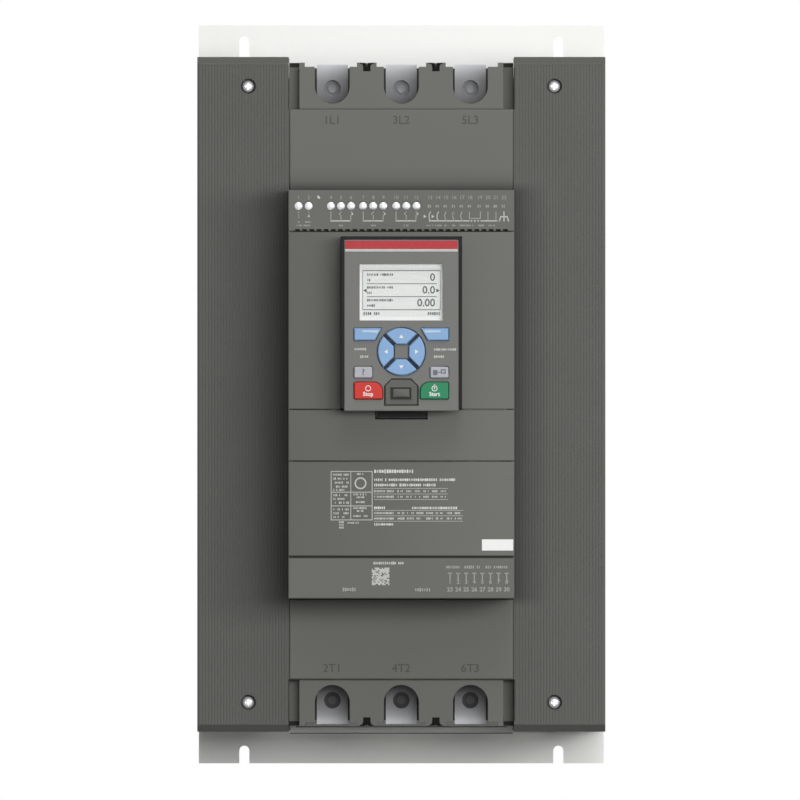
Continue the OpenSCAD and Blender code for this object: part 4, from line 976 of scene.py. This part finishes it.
def terminal_nuts():
    """Captive nuts in the pockets behind the terminal bars, each with a stepped face."""
    bar = front_of("line_busbar_1")
    nuts = Print(NUT, bar - 20.0, 14.0)
    faces = Print(NUT_FACE, bar - 6.0, 2.0)
    for x in PHASES:
        for z in (-BOLT_Z, BOLT_Z):
            nuts.dot(x, z, NUT_RADIUS, 36)
            faces.dot(x, z, NUT_FACE_RADIUS, 28)
    nuts.piece("terminal_nuts", "root")
    faces.piece("terminal_nut_faces", "root")


def wall_ends():
    """Ends of the housing's walls beside the shrouds, with dark strips of painted shade beyond them."""
    ends = Print(FRONT_GREY, WALL_DEPTH, 2.0)
    shade_strips = Print(DARK_SHADE, WALL_DEPTH - 40.0, 41.5)
    for side in (-1, 1):
        for end in (-1, 1):
            ends.bar(WALL_INSIDE * side, WALL_OUTSIDE * side, WALL_Z * end, SHADE_Z * end)
            shade_strips.bar(WALL_INSIDE * side, WALL_OUTSIDE * side, SHADE_Z * end, TIP_Z * end)
    ends.piece("wall_ends", "root")
    shade_strips.piece("wall_end_trim", "root")


def tray_trim():
    """Grey strips of painted shade on the fan tray's front lip and under it."""
    front = front_of("fan_tray")
    lip, under = 67.0, 70.4
    shade_strips = Print(FRONT_GREY, front, 0.3)
    shade_strips.bar(-lip, lip, -211.0, -210.5)
    shade_strips.at(front - 1.5, 1.4).bar(-under, under, -215.1, -214.5)
    shade_strips.piece("tray_trim", "root")


def slot_clips():
    """Black two-pronged clips in the slots of the shrouds."""
    face = front_of("line_shroud")
    clips = Print(CLIP, face)
    for x in PHASE_GAPS:
        for end in (-1, 1):
            root, fork, tip = 203.7 * end, 205.9 * end, TIP_Z * end
            clips.at(face - 22.0, 21.0)
            clips.shape([(x - 2.1, root), (x + 2.1, root), (x + 2.1, fork), (x + 2.9, tip), (x + 0.9, tip),
                         (x, fork), (x - 0.9, tip), (x - 2.9, tip), (x - 2.1, fork)])
            clips.at(face, 0.3)
            for side in (-1, 1):
                clips.bar(x + 1.5 * side, x + 4.3 * side, tip - 0.7 * end, tip)
    clips.piece("slot_clips", "root")


# Keypad: how far its ring lies in the face, and the captions beside its keys by ends and height
RING_SINK = 1.0
KEY_CAPTIONS = ((-29.5, -20.9, 28.3), (-26.0, -20.1, 23.6), (20.3, 34.6, 28.1), (20.3, 27.2, 23.6))


def ring_middle():
    """Height of the middle of the ring of arrow keys."""
    return (edges_of("arrow_up")[3] + edges_of("arrow_down")[2]) / 2


def keypad_print():
    """The red band with its white line, small captions beside the keys and the ring's dark spokes."""
    left, right, _, top = edges_of("keypad_face")
    margin = 0.6
    band = Print(RED_INK, FACE)
    band.bar(left + margin, right - margin, 91.1, top - margin)
    band.piece("red_band", "keypad")
    marks = Print(WHITE_INK, FACE)
    marks.bar(left + margin, right - margin, 89.5, 91.0)
    for i, (x0, x1, z) in enumerate(KEY_CAPTIONS):
        marks.row(x0, x1, z, 1.8, 120 + i, gap=0.04)
    marks.piece("keypad_captions", "keypad")
    spokes = Print(NAVY_INK, FACE - RING_SINK)
    middle, near, far = ring_middle(), 4.3, 10.8
    for dx, dz in ((-1, -1), (-1, 1), (1, -1), (1, 1)):
        spokes.line(near * dx, middle + near * dz, far * dx, middle + far * dz, 1.2)
    spokes.piece("ring_spokes", "keypad")


def display_image():
    """Three values with their labels in ruled rows, page arrows and a footer, on the display cell."""
    image = Print(DARK_INK, LCD)
    left, right, low, top = -24.2, 24.5, 53.0, 77.5
    label_x, arrow_z, footer_z = -21.5, 65.0, 50.6
    for z in (top, low):
        image.line(left, z, right, z, 0.5)
    for z in (69.3, 61.2):
        image.line(label_x, z, 22.2, z, 0.45)
    for x in (left, right):
        image.line(x, low, x, top, 0.3)
    for i, (value, z) in enumerate((("0", 73.2), ("0.0", 65.2), ("0.00", 57.2))):
        image.word(value, 21.2, z, 6.6, "RIGHT", 0.1)
        image.row(label_x, -4.9, z + 1.8, 1.7, 130 + i, gap=0.03)
        image.row(label_x, -19.2 + 1.4 * i, z - 1.6, 1.7, 140 + i, gap=0.0)
    image.shape([(-23.9, arrow_z), (-21.7, arrow_z - 1.2), (-21.7, arrow_z + 1.2)])
    image.shape([(24.1, arrow_z), (21.9, arrow_z + 1.2), (21.9, arrow_z - 1.2)])
    image.row(-24.0, -13.2, footer_z, 2.2, 150, gap=0.03)
    image.row(16.4, 24.5, footer_z, 2.2, 151, gap=0.03)
    image.piece("display_image", "keypad")


def arrow_marks():
    """An arrow head on each key of the ring, pointing away from its middle."""
    reach, tip, foot, half = 9.5, 1.2, 0.9, 1.4
    for name, dx, dz in (("up", 0, 1), ("down", 0, -1), ("left", -1, 0), ("right", 1, 0)):
        node = "arrow_" + name
        x, z = reach * dx, ring_middle() + reach * dz
        head = Print(KEY_INK, front_of(node))
        head.shape([(x + tip * dx, z + tip * dz),
                    (x - foot * dx - half * dz, z - foot * dz + half * dx),
                    (x - foot * dx + half * dz, z - foot * dz - half * dx)])
        head.piece(node + "_mark", node)


def softkey_painted_highlight():
    """A narrow painted highlight on each soft key, under its upper edge."""
    outline = ((24.6, 38.9), (24.6, 40.1), (14.0, 40.1), (15.0, 38.5))
    for node, side in (("softkey_left", -1), ("softkey_right", 1)):
        highlight_strip = Print(PAINTED_HIGHLIGHT, front_of(node))
        highlight_strip.shape([(x * side, z) for x, z in outline])
        highlight_strip.piece(node + "_gloss", node)


def stop_start_signs():
    """A ring over a word on the stop and start keys, with a stroke in the start key's ring."""
    for node, x, word in (("stop_key", -20.8, "Stop"), ("start_key", 20.8, "Start")):
        sign = Print(KEY_INK, front_of(node))
        sign.ring(x, 3.7, 1.6, 0.45)
        if node == "start_key":
            sign.bar(x - 0.3, x + 0.3, 3.3, 6.2)
        sign.word(word, x, 0.1, 3.5, weight=0.09)
        sign.piece(node + "_sign", node)


def grey_key_signs():
    """A question mark on the information key, and two linked boxes on the local key."""
    x = sum(edges_of("info_key")[:2]) / 2
    info = Print(SIGN_INK, front_of("info_key"))
    info.word("?", x, 13.8, 5.4, weight=0.14)
    info.piece("info_key_sign", "info_key")
    x = sum(edges_of("local_key")[:2]) / 2
    local = Print(SIGN_INK, front_of("local_key"))
    local.bar(x - 4.0, x - 1.2, 12.0, 15.2)
    local.box(x + 1.2, x + 3.6, 13.3, 15.3, 0.7)
    local.bar(x - 1.2, x + 0.8, 13.5, 14.0)
    local.piece("local_key_sign", "local_key")


def flap_outline(grow):
    """The socket flap's outline with its two cut corners, grown on every side."""
    left, right, low, top = edges_of("usb_flap")
    cut = 3.6
    return [(left - grow, low - grow), (right + grow, low - grow), (right + grow, top - cut),
            (right - cut, top + grow), (left + cut, top + grow), (left - grow, top - cut)]


def flap_details():
    """A dark band of painted shade round the socket flap, and a crowned thumb pad within a dark band of
    painted shade on it.
    """
    shade_outline = Print(DARK_SHADE, FACE)
    shade_outline.band(flap_outline(1.1), flap_outline(0.5))
    shade_outline.piece("flap_seal", "keypad")
    front = front_of("usb_flap")
    pad_edges = (-5.1, 5.1, -1.8, 3.4)
    painted_groove = Print(DARK_SHADE, front)
    painted_groove.band(rectangle(-6.3, 6.3, -2.8, 4.4), rectangle(*pad_edges))
    painted_groove.piece("flap_groove", "usb_flap")
    pad = Print(RUBBER, front)
    pad.crown(*pad_edges, rise=0.9)
    pad.piece("flap_pad", "usb_flap")


def latch_frame():
    """A black frame in the lid's notch, round the keypad's latch tab."""
    inner, outer = 15.7, 16.4
    low, sill, top = -15.7, -14.7, -10.0
    border = Print(CLIP, front_of("control_housing"), 1.6)
    border.shape([(-outer, low), (outer, low), (outer, top), (inner, top), (inner, sill), (-inner, sill),
                  (-inner, top), (-outer, top)])
    border.piece("latch_frame", "root")


def latch_grip():
    """Grip ridges across the keypad's latch tab."""
    low = edges_of("keypad_shell")[2]
    ridges = Print(GRIP, front_of("module_lid") - 1.2, 0.4)
    mesh = grown(BAR_ROW, count=3, step=(0.0, 0.9, 0.0), bar=(25.0, 0.6, 0.5), material=ridges.material)
    ridges.mesh(mesh, 0.0, low + 1.1)
    ridges.piece("latch_grip", "keypad")


upper_strip_print()
rating_print()
lower_strip_print()
phase_marks()
joint_strips()
joint_seals()
vent_foam()
terminal_nuts()
wall_ends()
tray_trim()
slot_clips()
latch_frame()
keypad_print()
display_image()
arrow_marks()
softkey_painted_highlight()
stop_start_signs()
grey_key_signs()
flap_details()
latch_grip()


# Studio, in metres, with the lens in millimetres
CAMERA_AT = (-0.00083, -16.99, -0.00357)
LENS, SENSOR = 1200.0, 36.0
FLOOR_Z, FLOOR_HALF = -0.6, 1.4
AIM = Vector((0.0, -0.15, 0.0))


def camera():
    """A far camera with a long lens, straight in front of the part."""
    lens = bpy.data.cameras.new("camera")
    lens.lens = LENS
    lens.sensor_width = SENSOR
    lens.clip_end = 60.0
    holder = placed("camera", lens)
    holder.location = CAMERA_AT
    holder.rotation_euler = (math.radians(90), 0.0, 0.0)
    scene.camera = holder


def softbox(name, right, up, away, width, height, power):
    """A rectangular lamp that faces the part, by its angles to the right and up and its distance."""
    lamp = bpy.data.lights.new(name, "AREA")
    lamp.shape = "RECTANGLE"
    lamp.size = width
    lamp.size_y = height
    lamp.energy = power
    holder = placed(name, lamp)
    turn, lift = math.radians(right), math.radians(up)
    way = Vector((math.sin(turn) * math.cos(lift), -math.cos(turn) * math.cos(lift), math.sin(lift)))
    holder.location = AIM + way * away
    holder.rotation_euler = (-way).to_track_quat("-Z", "Y").to_euler()


def seen_plainly(wire):
    """One for rays from the camera, and for those that metal and glass send on."""
    camera_ray, glossy, through = (wire.node("LightPath", {}, f"Is {kind} Ray")
                                   for kind in ("Camera", "Glossy", "Transmission"))
    return wire.math("MAXIMUM", wire.math("MAXIMUM", camera_ray, glossy), through)


@finish
def pale_floor(coords):
    """A pale finish that sends little light back to the part, and is clear from below."""
    cloud = noise(coords, 3, 3)
    pale = tint(cloud, linear(232, 232, 231), linear(238, 238, 237))
    seen = seen_plainly(coords)
    colour = tint(seen, linear(52, 52, 51), pale)
    glow = tint(seen, PURE_BLACK, grey(0.4))
    lit = surface(colour, 0.6 + cloud * 0.1, Emission_Color=glow, Emission_Strength=1.0)
    under = coords.node("NewGeometry", {}, "Backfacing")
    clear = coords.node("BsdfTransparent")
    return coords.node("MixShader", {0: under, 1: lit, 2: clear})


def floor():
    """A pale floor under the part, which keeps its shadow."""
    mesh = bpy.data.meshes.new("floor")
    corners = rectangle(-FLOOR_HALF, FLOOR_HALF, -FLOOR_HALF, FLOOR_HALF)
    mesh.from_pydata([(x, y, FLOOR_Z) for x, y in corners], [], [(0, 1, 2, 3)])
    mesh.materials.append(pale_floor("pale_floor"))
    holder = placed("floor", mesh)


def white_world():
    """A soft light, stronger from above, and plain white behind the part and in what it mirrors."""
    world = bpy.data.worlds.new("studio")
    world.use_nodes = True
    world.node_tree.nodes.clear()
    way = Wire(world.node_tree).node("TexCoord", {}, "Generated")
    sky = tint(coordinate(way, "Z") * 0.5 + 0.5, grey(0.03), grey(0.31))
    soft = way.node("Background", {"Color": sky})
    white = way.node("Background", {"Color": PURE_WHITE})
    mixed = way.node("MixShader", {0: seen_plainly(way), 1: soft, 2: white})
    mixed.node("OutputWorld", {"Surface": mixed})
    scene.world = world


camera()
softbox("key_light", right=24.0, up=6.0, away=4.0, width=3.7, height=0.95, power=110.0)
softbox("top_light", right=10.0, up=60.0, away=3.0, width=1.6, height=1.6, power=28.0)
floor()
white_world()
scene.view_settings.view_transform = "Standard"
